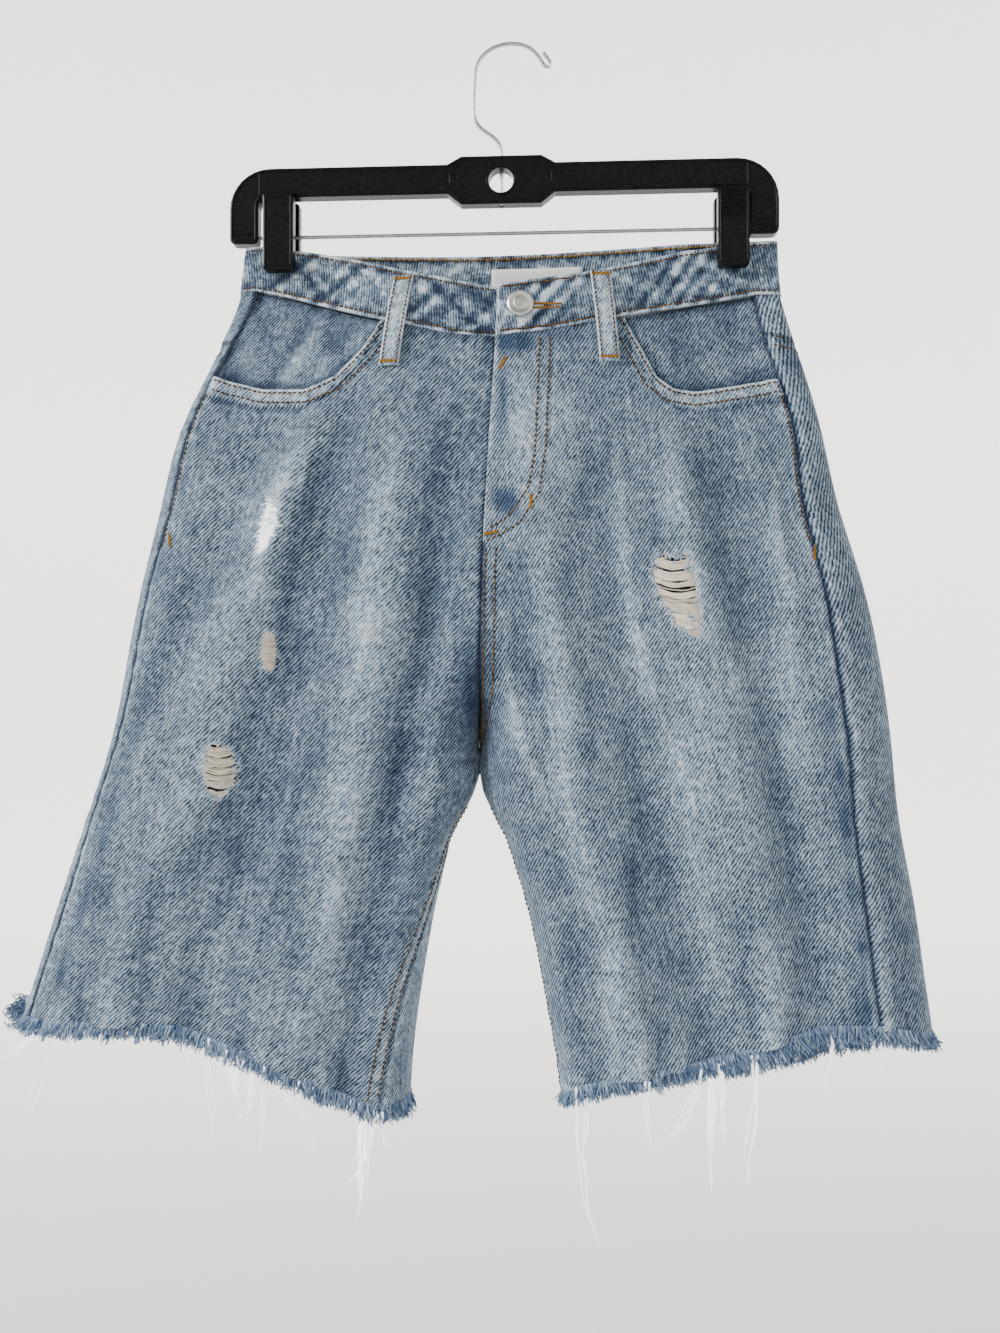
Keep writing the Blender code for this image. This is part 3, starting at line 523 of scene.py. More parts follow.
# Worn and shaded places by face, as soft leaning ovals: light is how much paler, and indigo how much is
# unfaded. The paler ovals are faded places and those with indigo keep their dye, while the darker ovals
# marked below are painted shade.
WEAR_AND_SHADE = ("x", "z", "half_x", "half_z", "lean", "light", "indigo")
WEARS_AND_SHADES = {
    "front": (
        (181, -277, 5, 18, 0.20, -0.1, 0.8),
        (190, -318, 4, 16, 0.20, -0.1, 0.6),
        (197, -345, 5, 14, 0.15, -0.1, 0.8),
        (208, -392, 6, 18, 0.15, -0.1, 0.9),
        (199, -438, 5, 14, 0.10, -0.1, 0.8),
        (204, -467, 5, 10, 0.10, -0.1, 0.8),
        (208, -500, 6, 22, 0.10, -0.1, 1.0),
        (212, -540, 5, 14, 0.10, -0.1, 0.9),
        (217, -573, 5, 16, 0.10, -0.1, 0.9),
        (220, -612, 6, 20, 0.10, -0.1, 1.0),
        (-209, -288, 4, 14, -0.20, -0.1, 0.8),
        (-222, -337, 4, 18, -0.20, -0.1, 0.7),
        (-257, -517, 4, 14, -0.25, -0.1, 0.7),
        (-270, -556, 4, 16, -0.25, -0.1, 0.8),
        (-285, -600, 5, 16, -0.25, -0.1, 0.9),
        (4, -200, 14, 8, 0.1, -0.10, 1.3),
        (36, -196, 18, 5, 0.0, -0.05, 0.8),
        (-3, -236, 4, 26, 0.0, -0.10, 0.8),
        (-1, -300, 11, 10, 0.2, -0.08, 1.2),
        (14, -314, 11, 6, 0.5, -0.05, 0.7),
        # painted shadow in the gap at the crotch, between the folds of the legs
        (-20, -424, 11, 36, 0.1, -0.60, 0.6),
        (132, -212, 26, 9, 0.0, 0.0, 0.25),
        (-140, -206, 26, 10, 0.0, 0.0, 0.25),
        (-75, -395, 42, 80, -0.25, 0.13, 0.0),
        (-168, -400, 34, 90, -0.25, 0.10, 0.0),
        (-110, -292, 24, 40, -0.3, 0.02, 0.0),
        (66, -400, 40, 84, 0.20, 0.18, 0.0),
        (150, -396, 34, 70, 0.15, 0.18, 0.0),
        (100, -290, 26, 36, 0.2, 0.14, 0.0),
        (10, -252, 10, 34, 0.0, 0.26, 0.0),
        (28, -250, 4, 34, 0.0, -0.12, 0.3),
        # the next two: painted shade low on the inner legs
        (-52, -608, 16, 60, -0.2, -0.14, 0.0),
        (36, -600, 16, 60, 0.2, -0.12, 0.0),
        (130, -600, 70, 60, 0.0, 0.12, 0.0),
        # the next two: painted shade along the side seams
        (236, -480, 16, 110, 0.15, -0.24, 0.1),
        (-246, -462, 10, 90, -0.25, -0.14, 0.0),
    ),
    "back": (
        (182, -212, 14, 12, 0.0, -0.1, 0.6),
        (-96, -330, 60, 70, 0.0, 0.20, 0.0),
        (86, -330, 60, 70, 0.0, 0.20, 0.0),
        (-170, -540, 40, 90, -0.2, 0.12, 0.0),
        (150, -540, 40, 90, 0.2, 0.12, 0.0),
        # the next two: painted shade across the back at the crotch
        (-60, -450, 40, 20, 0.0, -0.16, 0.2),
        (50, -450, 40, 20, 0.0, -0.16, 0.2),
    ),
}

# Holes worn through a front, as outlines of x and z.
HOLES = {
    RIGHT: (
        (
            (-187, -455), (-182, -452), (-175, -456), (-172, -466),
            (-174, -478), (-180, -485), (-186, -482), (-189, -470),
        ),
    ),
    LEFT: (
        (
            (94, -335), (102, -337), (111, -336), (114, -350), (117, -364),
            (115, -384), (107, -378), (96, -360), (92, -346),
        ),
    ),
}
SLITS = (  # worn thin on the right front, but not through
    ((-149, -302), (-146, -303), (-146, -314), (-150, -324), (-154, -331), (-154, -323), (-152, -313)),
    ((-151, -382), (-148, -383), (-147, -394), (-149, -405), (-152, -404), (-153, -392)),
)
SHIFT = 1e-4


def creased(side, face, x, z, names=CREASE, rows=CREASES, value="height"):
    """The lift in mm, or another value, of the listed creases, at arrays of x and z."""
    lift = np.zeros(np.shape(x))
    for row in rows[side, face]:
        crease = dict(zip(names, row))
        start = np.array((crease["x1"], crease["z1"]), float)
        way = np.array((crease["x2"], crease["z2"]), float) - start
        length = np.hypot(*way)
        way = way / length
        along = (x - start[0]) * way[0] + (z - start[1]) * way[1]
        off = (x - start[0]) * way[1] - (z - start[1]) * way[0]
        part = np.clip(along / length, 0, 1)
        bow = 0.06 * length * np.sin(math.pi * part)
        fade = np.sin(math.pi * np.clip((along + 6) / (length + 12), 0, 1)) ** 0.7
        lift += crease[value] * fade * bell(off - bow, crease["width"])
    return lift


def ripples(at, seed, wave, count=5):
    """Uneven small waves along a seam, from -1 to 1, at arrays of lengths in mm."""
    dice = random.Random(seed)
    total = np.zeros(np.shape(at))
    for _ in range(count):
        length = wave * dice.uniform(0.7, 1.6)
        total += dice.uniform(0.4, 1) * np.sin(2 * math.pi * (at / length + dice.random()))
    return total / (0.6 * count)


def worn_and_shaded(face, x, z):
    """Lightness and indigo of the worn places and of the painted shade, at arrays of x and z."""
    light, indigo = np.zeros(np.shape(x)), np.zeros(np.shape(x))
    for row in WEARS_AND_SHADES[face]:
        spot = dict(zip(WEAR_AND_SHADE, row))
        dz = z - spot["z"]
        dx = x - spot["x"] + spot["lean"] * dz
        near = np.exp(-((dx / spot["half_x"]) ** 2) - (dz / spot["half_z"]) ** 2)
        light += spot["light"] * near
        indigo += spot["indigo"] * near
    return light, indigo


def inside(x, z, outline):
    """Whether each point is within the outline, and its distance in mm from it."""
    corners = np.array(outline, float)
    following = np.roll(corners, -1, axis=0)
    within = np.zeros(np.shape(x), bool)
    nearest = np.full(np.shape(x), 1e9)
    for (ax, az), (bx, bz) in zip(corners, following):
        crosses = (az > z) != (bz > z)
        rise = bz - az if bz != az else SHIFT
        within ^= crosses & (x < (bx - ax) * (z - az) / rise + ax)
        run = np.array((bx - ax, bz - az))
        part = np.clip(((x - ax) * run[0] + (z - az) * run[1]) / (run @ run), 0, 1)
        nearest = np.minimum(nearest, np.hypot(x - ax - part * run[0], z - az - part * run[1]))
    return within, nearest


# ---------------------------------------------------------------- the fly, and relief by seams

FLY_STITCH = ((27, -196), (25.5, -235), (24, -268), (20, -296), (8, -314), (-5, -322), (-14, -325))
FLY_INNER = ((20.5, -196), (19, -235), (17.5, -268), (14, -291), (4, -307), (-6, -314.5), (-13, -317.5))
FLY_END = -325


def fly_x(z):
    """Where the outer row of the fly's stitches lies at each height."""
    xs, zs = zip(*FLY_STITCH)
    return np.interp(-z, [-v for v in zs], xs)


def seam_relief(side, face, x, z, from_centre, from_side, from_top, from_low, is_pocket):
    """Raised seams, felled edges and puckers, in mm. Distances are mm from the panel's edges."""
    seed = 10 * (side + 2) + (face == "front")
    lift = np.zeros(np.shape(x))
    pucker = ripples(z, seed, 17) * 0.55
    lift += pucker * bell(from_side, 7, 5)
    lift += -0.9 * bell(from_side, 1.7)
    lift += 0.45 * bell(from_side, 5, 7)
    lift += ripples(z, seed + 1, 15) * 0.5 * bell(from_centre, 7, 6)
    lift += -0.7 * bell(from_centre, 1.6)
    lift += 0.5 * smooth((11 - from_centre) / 2.0) * (z < CROTCH_Z + 8)
    if face == "front" and side == LEFT:
        over = smooth((fly_x(z) + 2 - x) / 2.5) * smooth((z - FLY_END - 1) / 4)
        lift += 0.9 * over + ripples(z, 5, 14) * 0.5 * bell(x - fly_x(z), 9) * (z > FLY_END - 10)
    if face == "front" and side == RIGHT:
        lift += -0.5 * smooth((14 - from_centre) / 12) * smooth((z - FLY_END) / 8)
    band = bell(from_top, 15)
    lift += ripples(x, seed + 2, 13) * 0.7 * band + 1.1 * smooth((12.5 - from_top) / 1.8) * is_pocket
    lift += ripples(x, seed + 3, 26) * 1.6 * bell(from_low, 26)
    return lift


# ---------------------------------------------------------------- meshes


def attribute(mesh, name, values):
    made = mesh.attributes.new(name, "FLOAT", "POINT")
    made.data.foreach_set("value", np.asarray(values, np.float32).ravel())


def mesh_from(name, points, faces, uv=None, attributes=None):
    """An object from arrays of points in metres and of quads or triangles."""
    data = bpy.data.meshes.new(name)
    points = np.asarray(points, np.float32).reshape(-1, 3)
    faces = np.asarray(faces, np.int32)
    corners = faces.shape[1]
    data.vertices.add(len(points))
    data.vertices.foreach_set("co", points.ravel())
    data.loops.add(faces.size)
    data.loops.foreach_set("vertex_index", faces.ravel())
    data.polygons.add(len(faces))
    data.polygons.foreach_set("loop_start", np.arange(0, faces.size, corners, dtype=np.int32))
    data.update(calc_edges=True)
    data.polygons.foreach_set("use_smooth", np.ones(len(faces), bool))
    if uv is not None:
        layer = data.uv_layers.new(name="cloth")
        layer.data.foreach_set("uv", np.asarray(uv, np.float32).reshape(-1, 2)[faces.ravel()].ravel())
    for key, values in (attributes or {}).items():
        attribute(data, key, values)
    data.update()
    made = bpy.data.objects.new(name, data)
    bpy.context.scene.collection.objects.link(made)
    return made


def slab(name, outer, normals, thickness, uv, attributes, keep=None):
    """A closed shell of cloth from a grid of outside points in mm. keep marks the cells that are
    cloth, and every open edge gets a wall."""
    rows, columns = outer.shape[:2]
    across = outer[:-1, 1:] - outer[:-1, :-1]
    down = outer[1:, :-1] - outer[:-1, :-1]
    flip = float((np.cross(across, down) * normals[:-1, :-1]).sum()) < 0
    inner = outer - normals * thickness
    count = rows * columns
    points = np.concatenate([outer.reshape(-1, 3), inner.reshape(-1, 3)]) * MM
    i, j = np.meshgrid(np.arange(rows - 1), np.arange(columns - 1), indexing="ij")
    a = i * columns + j
    b, c, d = a + 1, a + columns + 1, a + columns
    keep = np.ones(i.shape, bool) if keep is None else keep
    quads = np.stack([a, b, c, d], -1)[keep]
    if flip:
        quads = quads[:, ::-1]
    edges = {}
    for quad in quads.tolist():
        for start, end in zip(quad, quad[1:] + quad[:1]):
            if (end, start) in edges:
                del edges[(end, start)]
            else:
                edges[(start, end)] = True
    rim = [(end, start, start + count, end + count) for start, end in edges]
    faces = np.concatenate([quads, quads[:, ::-1] + count, np.array(rim, int).reshape(-1, 4)])
    uv = np.concatenate([uv.reshape(-1, 2)] * 2)
    doubled = {key: np.concatenate([np.ravel(v), np.ravel(v)]) for key, v in attributes.items()}
    doubled["inside"] = np.concatenate([np.zeros(count), np.ones(count)])
    used = np.unique(faces)
    place = np.full(2 * count, -1)
    place[used] = np.arange(len(used))
    doubled = {key: v[used] for key, v in doubled.items()}
    return mesh_from(name, points[used], place[faces], uv[used], doubled)


# ---------------------------------------------------------------- materials


def node(tree, kind, inputs=None, **settings):
    """Adds a shader node, with its inputs from other nodes' sockets or from plain values."""
    made = tree.nodes.new(kind)
    for key, value in settings.items():
        setattr(made, key, value)
    for key, value in (inputs or {}).items():
        if isinstance(value, bpy.types.NodeSocket):
            tree.links.new(value, made.inputs[key])
        else:
            made.inputs[key].default_value = value
    return made


def maths(tree, operation, first, second=0.0, third=0.0):
    return node(tree, "ShaderNodeMath", {0: first, 1: second, 2: third}, operation=operation).outputs[0]


def ramp(tree, value, stops):
    made = node(tree, "ShaderNodeValToRGB", {"Fac": value})
    elements = made.color_ramp.elements
    while len(elements) > 1:
        elements.remove(elements[0])
    for i, (place, colour) in enumerate(stops):
        element = elements[0] if i == 0 else elements.new(place)
        element.position = place
        element.color = (*colour, 1)
    return made.outputs["Color"]


def mix(tree, share, first, second):
    made = node(tree, "ShaderNodeMix", data_type="RGBA")
    for key, value in ((0, share), (6, first), (7, second)):
        if isinstance(value, bpy.types.NodeSocket):
            tree.links.new(value, made.inputs[key])
        elif key == 0:
            made.inputs[0].default_value = value
        else:
            made.inputs[key].default_value = (*value, 1)
    return made.outputs[2]


def noise(tree, place, scale, stretch=(1, 1, 1), detail=2.0, rough=0.5, shift=0.0):
    spread = node(tree, "ShaderNodeVectorMath", {0: place, 1: stretch}, operation="MULTIPLY")
    offset = (shift, shift, shift)
    moved = node(tree, "ShaderNodeVectorMath", {0: spread.outputs[0], 1: offset}, operation="ADD")
    made = node(
        tree,
        "ShaderNodeTexNoise",
        {"Vector": moved.outputs[0], "Scale": scale, "Detail": detail, "Roughness": rough},
    )
    return made.outputs["Fac"]


def blank(name):
    made = bpy.data.materials.new(name)
    made.use_nodes = True
    return made, made.node_tree, made.node_tree.nodes["Principled BSDF"]


INDIGO = (0.004, 0.009, 0.028)
DARK_YARN = (
    (0.00, (0.003, 0.006, 0.016)),
    (0.35, (0.006, 0.012, 0.028)),
    (0.60, (0.012, 0.026, 0.054)),
    (0.80, (0.075, 0.125, 0.190)),
    (1.00, (0.380, 0.480, 0.580)),
)
PALE_YARN = (
    (0.00, (0.030, 0.055, 0.110)),
    (0.35, (0.150, 0.220, 0.310)),
    (0.60, (0.325, 0.430, 0.540)),
    (0.80, (0.480, 0.590, 0.700)),
    (1.00, (0.680, 0.760, 0.830)),
)
TWILL_PITCH = 1.75 * MM
TWILL_LEAN = math.radians(52)


def make_denim(name, lean=TWILL_LEAN, tone=0.0, blotch=0.12, twill=0.46, lining=0.6, spot=90):
    """Stonewashed twill. The cloth's own lengths come from its UV map, in metres."""
    made, tree, shader = blank(name)
    uv = node(tree, "ShaderNodeUVMap", uv_map="cloth").outputs[0]
    split = node(tree, "ShaderNodeSeparateXYZ", {0: uv})
    u, v = split.outputs[0], split.outputs[1]
    across, down, long = (1, 1, 1), (1, 0.05, 1), (1, 0.10, 1)
    wander = noise(tree, uv, 300, across, 1.0, 0.5, 3.0)
    slant = maths(tree, "MULTIPLY", u, math.sin(lean))
    slant = maths(tree, "MULTIPLY_ADD", v, -math.cos(lean), slant)
    slant = maths(tree, "MULTIPLY_ADD", wander, 0.8 * TWILL_PITCH, slant)
    wave = maths(tree, "SINE", maths(tree, "MULTIPLY", slant, 2 * math.pi / TWILL_PITCH))
    salt = noise(tree, uv, 640, (1, 0.7, 1), 2.0, 0.7, 11.0)
    grain = noise(tree, uv, 330, (1, 0.75, 1), 2.0, 0.65, 17.0)
    slub = noise(tree, uv, 560, down, 2.0, 0.6, 5.0)
    broad = noise(tree, uv, 90, long, 3.0, 0.55, 9.0)
    cloud = noise(tree, uv, 26, across, 4.0, 0.6, 21.0)
    patch = noise(tree, uv, spot, across, 3.0, 0.6, 31.0)
    light = node(tree, "ShaderNodeAttribute", attribute_name="light").outputs["Fac"]
    indigo = node(tree, "ShaderNodeAttribute", attribute_name="indigo").outputs["Fac"]
    within = node(tree, "ShaderNodeAttribute", attribute_name="inside").outputs["Fac"]

    # The light attribute brings in the faded places and the painted shade of folds, seams and hollows.
    wash_and_shade = maths(tree, "ADD", light, 0.5 + tone)
    uneven = ((cloud, blotch * 3.4), (patch, blotch * 3.4), (broad, 0.28), (grain, 0.80))
    for value, weight in uneven:
        wash_and_shade = maths(tree, "MULTIPLY_ADD", maths(tree, "SUBTRACT", value, 0.5), weight, wash_and_shade)
    thread = maths(tree, "MULTIPLY_ADD", wave, twill, 0.5)
    for value, weight in ((salt, 1.3), (grain, 0.7), (slub, 0.8)):
        thread = maths(tree, "MULTIPLY_ADD", maths(tree, "SUBTRACT", value, 0.5), weight, thread)
    thread = node(tree, "ShaderNodeClamp", {"Value": thread}).outputs[0]
    colour = mix(tree, thread, ramp(tree, wash_and_shade, DARK_YARN), ramp(tree, wash_and_shade, PALE_YARN))
    spotted = maths(tree, "MULTIPLY_ADD", maths(tree, "SUBTRACT", patch, 0.5), 3.4, indigo)
    spotted = maths(tree, "MULTIPLY_ADD", maths(tree, "SUBTRACT", grain, 0.5), 2.4, spotted)
    held = node(tree, "ShaderNodeClamp", {"Value": maths(tree, "MULTIPLY", spotted, indigo)}).outputs[0]
    blue = mix(tree, thread, INDIGO, (0.042, 0.086, 0.170))
    colour = mix(tree, maths(tree, "MULTIPLY", held, 0.9), colour, blue)
    pale = mix(tree, salt, (0.24, 0.30, 0.38), (0.58, 0.62, 0.66))
    colour = mix(tree, maths(tree, "MULTIPLY", within, lining), colour, pale)
    tree.links.new(colour, shader.inputs["Base Color"])
    height = maths(tree, "MULTIPLY_ADD", wave, 0.35, maths(tree, "MULTIPLY", salt, 1.2))
    height = maths(tree, "MULTIPLY_ADD", slub, 0.8, height)
    bump = node(tree, "ShaderNodeBump", {"Height": height, "Strength": 0.6, "Distance": 0.0005})
    tree.links.new(bump.outputs[0], shader.inputs["Normal"])
    shader.inputs["Roughness"].default_value = 0.9
    shader.inputs["Specular IOR Level"].default_value = 0.15
    shader.inputs["Sheen Weight"].default_value = 0.08
    shader.inputs["Sheen Roughness"].default_value = 0.6
    return made


def make_yarn(name, dark, pale):
    """Loose yarn, whose colour changes from one end or piece to the next."""
    made, tree, shader = blank(name)
    tint = node(tree, "ShaderNodeAttribute", attribute_name="tint").outputs["Fac"]
    place = node(tree, "ShaderNodeTexCoord").outputs["Object"]
    speck = noise(tree, place, 300.0, (1, 1, 1), 1.0)
    share = maths(tree, "MULTIPLY_ADD", maths(tree, "SUBTRACT", speck, 0.5), 0.5, tint)
    held = node(tree, "ShaderNodeClamp", {"Value": share}).outputs[0]
    tree.links.new(mix(tree, held, dark, pale), shader.inputs["Base Color"])
    shader.inputs["Roughness"].default_value = 0.95
    shader.inputs["Specular IOR Level"].default_value = 0.2
    return made


def make_plain(name, colour, roughness, metallic=0.0, speck=0.08, scale=400.0, depth=0.0, shine=0.5):
    """A hard surface with a slight uneven tone and an optional fine grain."""
    made, tree, shader = blank(name)
    place = node(tree, "ShaderNodeTexCoord").outputs["Object"]
    tone = noise(tree, place, scale, (1, 1, 1), 3.0)
    pale = tuple(min(1, c * (1 + speck) + 0.01 * speck) for c in colour)
    dark = tuple(c * (1 - speck) for c in colour)
    tree.links.new(mix(tree, tone, dark, pale), shader.inputs["Base Color"])
    rough = maths(tree, "MULTIPLY_ADD", maths(tree, "SUBTRACT", tone, 0.5), 0.25, roughness)
    tree.links.new(rough, shader.inputs["Roughness"])
    shader.inputs["Metallic"].default_value = metallic
    shader.inputs["Specular IOR Level"].default_value = shine
    if depth:
        bump = node(tree, "ShaderNodeBump", {"Height": tone, "Strength": depth, "Distance": 0.0002})
        tree.links.new(bump.outputs[0], shader.inputs["Normal"])
    return made


denim = make_denim("Stonewashed denim", blotch=0.16, twill=0.54)
band_denim = make_denim(
    "Waistband denim", lean=math.radians(80), blotch=0.46, twill=0.42, lining=0.0, spot=130
)
loop_denim = make_denim("Belt loop denim", tone=0.26, blotch=0.05)
thread_brown = make_yarn("Stitching, brown", (0.018, 0.011, 0.006), (0.150, 0.082, 0.030))
thread_amber = make_yarn("Stitching, amber", (0.160, 0.070, 0.008), (0.420, 0.210, 0.030))
yarn_blue = make_yarn("Frayed yarn", (0.017, 0.060, 0.165), (0.480, 0.630, 0.800))
yarn_white = make_yarn("Loose white thread", (0.88, 0.88, 0.87), (1.0, 1.0, 0.99))
yarn_cream = make_yarn("Bared weft", (0.50, 0.42, 0.32), (0.86, 0.80, 0.70))
glow = yarn_white.node_tree.nodes["Principled BSDF"]  # painted glow: the white threads emit light, in place of the light that comes through such thin threads
glow.inputs["Emission Color"].default_value = (1, 1, 1, 1)
glow.inputs["Emission Strength"].default_value = 1.0
label_cloth = make_plain("Label cloth", (0.80, 0.80, 0.78), 0.8, speck=0.05, scale=900, depth=0.3)
brushed = make_plain("Brushed metal", (0.62, 0.60, 0.56), 0.38, 1.0, speck=0.25, scale=260, depth=0.15)
plastic = make_plain(
    "Black plastic", (0.0016, 0.0016, 0.0018), 0.30, speck=0.3, scale=500, depth=0.05, shine=0.16
)
steel = make_plain("Steel wire", (0.52, 0.52, 0.50), 0.28, 1.0, speck=0.1, scale=300)


def dress(obj, finish, slot, *nodes):
    """Gives a piece its finish and body, and stands it in place of CAD nodes. slot is not used."""
    obj.data.materials.clear()
    obj.data.materials.append(finish)
    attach(obj, BODY)
    if nodes:
        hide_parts(*nodes)
    return obj


# ---------------------------------------------------------------- panels

PANEL_COLUMNS, PANEL_ROWS, YOKE_ROWS = 118, 176, 24
LEANING_TWILL = 0.83  # the twill lies flatter, and closer, on the legs that lean its own way
FOLD_MORE = 0.7  # how much higher the worn cloth's folds stand than its CAD solid's


def spaced(count, edge=0.35):
    """From 0 to 1 in steps that are shorter at both ends."""
    t = np.linspace(0, 1, count)
    return t - edge * np.sin(2 * math.pi * t) / (2 * math.pi)


def make_panel(name, side, face, top, low, rows, pocket=None):
    leg = LEGS[side]
    c = spaced(PANEL_COLUMNS)
    part = spaced(rows, 0.25)
    z_top, z_low = leg.height(face, c, top), leg.height(face, c, low)
    z = z_top + (z_low - z_top) * part[:, None]
    c = np.broadcast_to(c, z.shape)
    point, normal = leg.put(face, c, z)
    length, whole = leg.length(face, c, z), leg.length(face, 1.0, z)
    x = point[..., 0]
    share = length / whole
    is_pocket = np.zeros(z.shape, bool) if pocket is None else share > pocket
    from_top = z_top - z
    lift = creased(side, face, x, z)
    hills = leg.hills(face, x, z) * smooth(np.minimum(length, whole - length) / 16)
    lift = lift + creased(side, face, x, z, SOFT_FOLD, SOFT_FOLDS)
    lift = 1.4 * lift * smooth(from_top / 30) * smooth(np.minimum(length, whole - length) / 12)
    lift = lift + FOLD_MORE * hills
    crest = lift + 0.5 * hills
    seams = seam_relief(side, face, x, z, length, whole - length, from_top, z - z_low, is_pocket)
    lift = lift + seams
    light, indigo = worn_and_shaded(face, x, z)
    light *= 0.75
    # Painted shade by the relief, together with wear: the cloth is paler on fold crests and raised seams,
    # and darker in fold troughs and seam grooves.
    light = light + 0.026 * crest + 0.14 * np.clip(seams, -1, 1)
    light = light + creased(side, face, x, z, SOFT_FOLD, SOFT_FOLDS, "light") * smooth(from_top / 14)
    is_rise = ((face == "back") | (z < FLY_END)) & (z > CROTCH_Z)
    is_fly = (face == "front") & (side == LEFT) & (z > FLY_END)
    # The paler bands are worn seam ridges, edges and the fly. The dark lines in the seam grooves, just
    # below each panel's top seam and below the raised pocket band are painted shade.
    shades = (  # distance in mm, its middle and width, how much lighter there, and where it counts
        (whole - length, 3.6, 2.4, 0.14, True),
        (whole - length, 0.0, 1.3, -0.50, True),
        (length, 3.2, 2.2, 0.20, z < CROTCH_Z + 6),
        (length, 0.0, 1.6, -0.50, is_rise),
        (length, 0.0, 1.3, -0.22, z < CROTCH_Z),
        (from_top, 0.0, 3.0, -0.30, ~is_pocket),
        (from_top, 0.0, 2.2, 0.40, is_pocket),
        (from_top, 5.5, 2.6, 0.16, is_pocket),
        (from_top, 13.0, 1.6, -0.24, is_pocket),
        (z - z_low, 0.0, 7.0, 0.04, True),
        (x - fly_x(z), 3.0, 1.8, 0.20, is_fly),
        (length, 0.0, 1.6, 0.30, is_fly),
    )
    for distance, middle, width, amount, where in shades:
        light += amount * bell(distance, width, middle) * where
    keep = np.ones((z.shape[0] - 1, z.shape[1] - 1), bool)
    if face == "front":
        centre_x = (x[:-1, :-1] + x[1:, 1:] + x[:-1, 1:] + x[1:, :-1]) / 4
        centre_z = (z[:-1, :-1] + z[1:, 1:] + z[:-1, 1:] + z[1:, :-1]) / 4
        for outline in HOLES[side]:
            keep &= ~inside(centre_x, centre_z, outline)[0]
            within, near = inside(x, z, outline)
            light += 0.42 * bell(near, 3.2)
            lift += 0.5 * bell(near, 4)
        for outline in SLITS if side == RIGHT else ():
            within, near = inside(x, z, outline)
            light += 0.5 * within + 0.35 * bell(near, 2.6) * ~within
    point = point + normal * lift[..., None]
    sign = side if face == "front" else -side
    scale = MM * (LEANING_TWILL if sign == RIGHT else 1)
    uv = np.stack([sign * (length - leg.grain(face, z)) * scale, z * scale], -1)
    return slab(name, point, normal, DENIM, uv, {"light": light, "indigo": indigo}, keep)


def front_top(side):
    seam, pocket = by_points(WAIST_SEAM[side]), by_points(POCKET[side])
    corner = POCKET[side][0][0]
    return lambda share: np.where(np.asarray(share) < corner, seam(share), pocket(share))


panels = {}
for side in (RIGHT, LEFT):
    who = side_name(side)
    corner = POCKET[side][0][0]
    panels["front", side] = make_panel(
        f"front_{who}_cloth", side, "front", front_top(side), hem_curve(side, "front"), PANEL_ROWS, corner
    )
    yoke = from_seam(YOKE_SEAM[0], YOKE_SEAM[2])
    panels["back", side] = make_panel(
        f"back_{who}_cloth", side, "back", yoke, hem_curve(side, "back"), PANEL_ROWS
    )
    waist = from_seam(WAIST_SEAM[side][-1][1], BACK_WAIST_SEAM)
    panels["yoke", side] = make_panel(f"yoke_{who}_cloth", side, "back", waist, yoke, YOKE_ROWS)
    for part in ("front", "back", "yoke"):
        dress(panels[part, side], denim, "denim", f"{part}_{who}")

# The side pieces that show inside the scooped pockets.
FACING_START, FACING_LOW, FACING_BEHIND = 0.26, -243, 2.5
FACING_ROWS, FACING_COLUMNS = 44, 64
for side in (RIGHT, LEFT):
    leg = LEGS[side]
    c = np.linspace(FACING_START, 1, FACING_COLUMNS)
    seam = by_points(WAIST_SEAM[side])
    z_top = leg.height("front", c, lambda share: seam(share) - 0.5)
    z_low = np.interp(c, (0, 0.9, 1), (FACING_LOW, FACING_LOW, FACING_LOW + 6))
    part = np.linspace(0, 1, FACING_ROWS)[:, None]
    z = z_top + (z_low - z_top) * part
    c = np.broadcast_to(c, z.shape)
    point, normal = leg.put("front", c, z, -FACING_BEHIND)
    x = point[..., 0]
    lift = 0.9 * ripples(x + 0.35 * z, 40 + side, 30) * smooth((z_top - z) / 10)
    if side == RIGHT:
        away = (x + 132) - 0.55 * (z + 200)
        lift += 1.1 * bell(away, 6) - 1.0 * bell(away + 12, 5)
    lift = np.clip(lift, -1.3, 1.2)
    length = leg.length("front", c, z)
    uv = np.stack([side * (length - leg.grain("front", z)) * MM + 0.3, z * MM], -1)
    opening = np.interp(length / leg.length("front", 1.0, z), *zip(*POCKET[side]))
    # Painted shade on the facing: darker just below the pocket opening's edge and along its top under the
    # waistband, and darker in the hollows of its puckers and paler on their ridges. It is a little lighter
    # further below the opening and a little darker overall, and blot is uneven tone.
    shade = -0.34 * bell(z - opening, 5) - 0.30 * bell(z_top - z, 3)
    shade += 0.10 * bell(z - opening, 9, 16)
    blot = 0.16 * ripples(x - 0.5 * z, 44 + side, 26) * ripples(z + 0.3 * x, 48 + side, 40)
    values = {"light": -0.10 + 0.18 * lift + shade + blot, "indigo": 0.35 * bell(z - opening, 6, 3)}
    who = side_name(side)
    point = point + normal * lift[..., None]
    made = slab(f"pocket_facing_{who}_cloth", point, normal, DENIM, uv, values)
    panels["facing", side] = made
    dress(made, denim, "denim", f"pocket_facing_{who}")


# ---------------------------------------------------------------- waistband

UNDERLAP = 0.22
BAND_HEIGHT = 36
LAYER = BAND + SEAM_GAP + 0.2


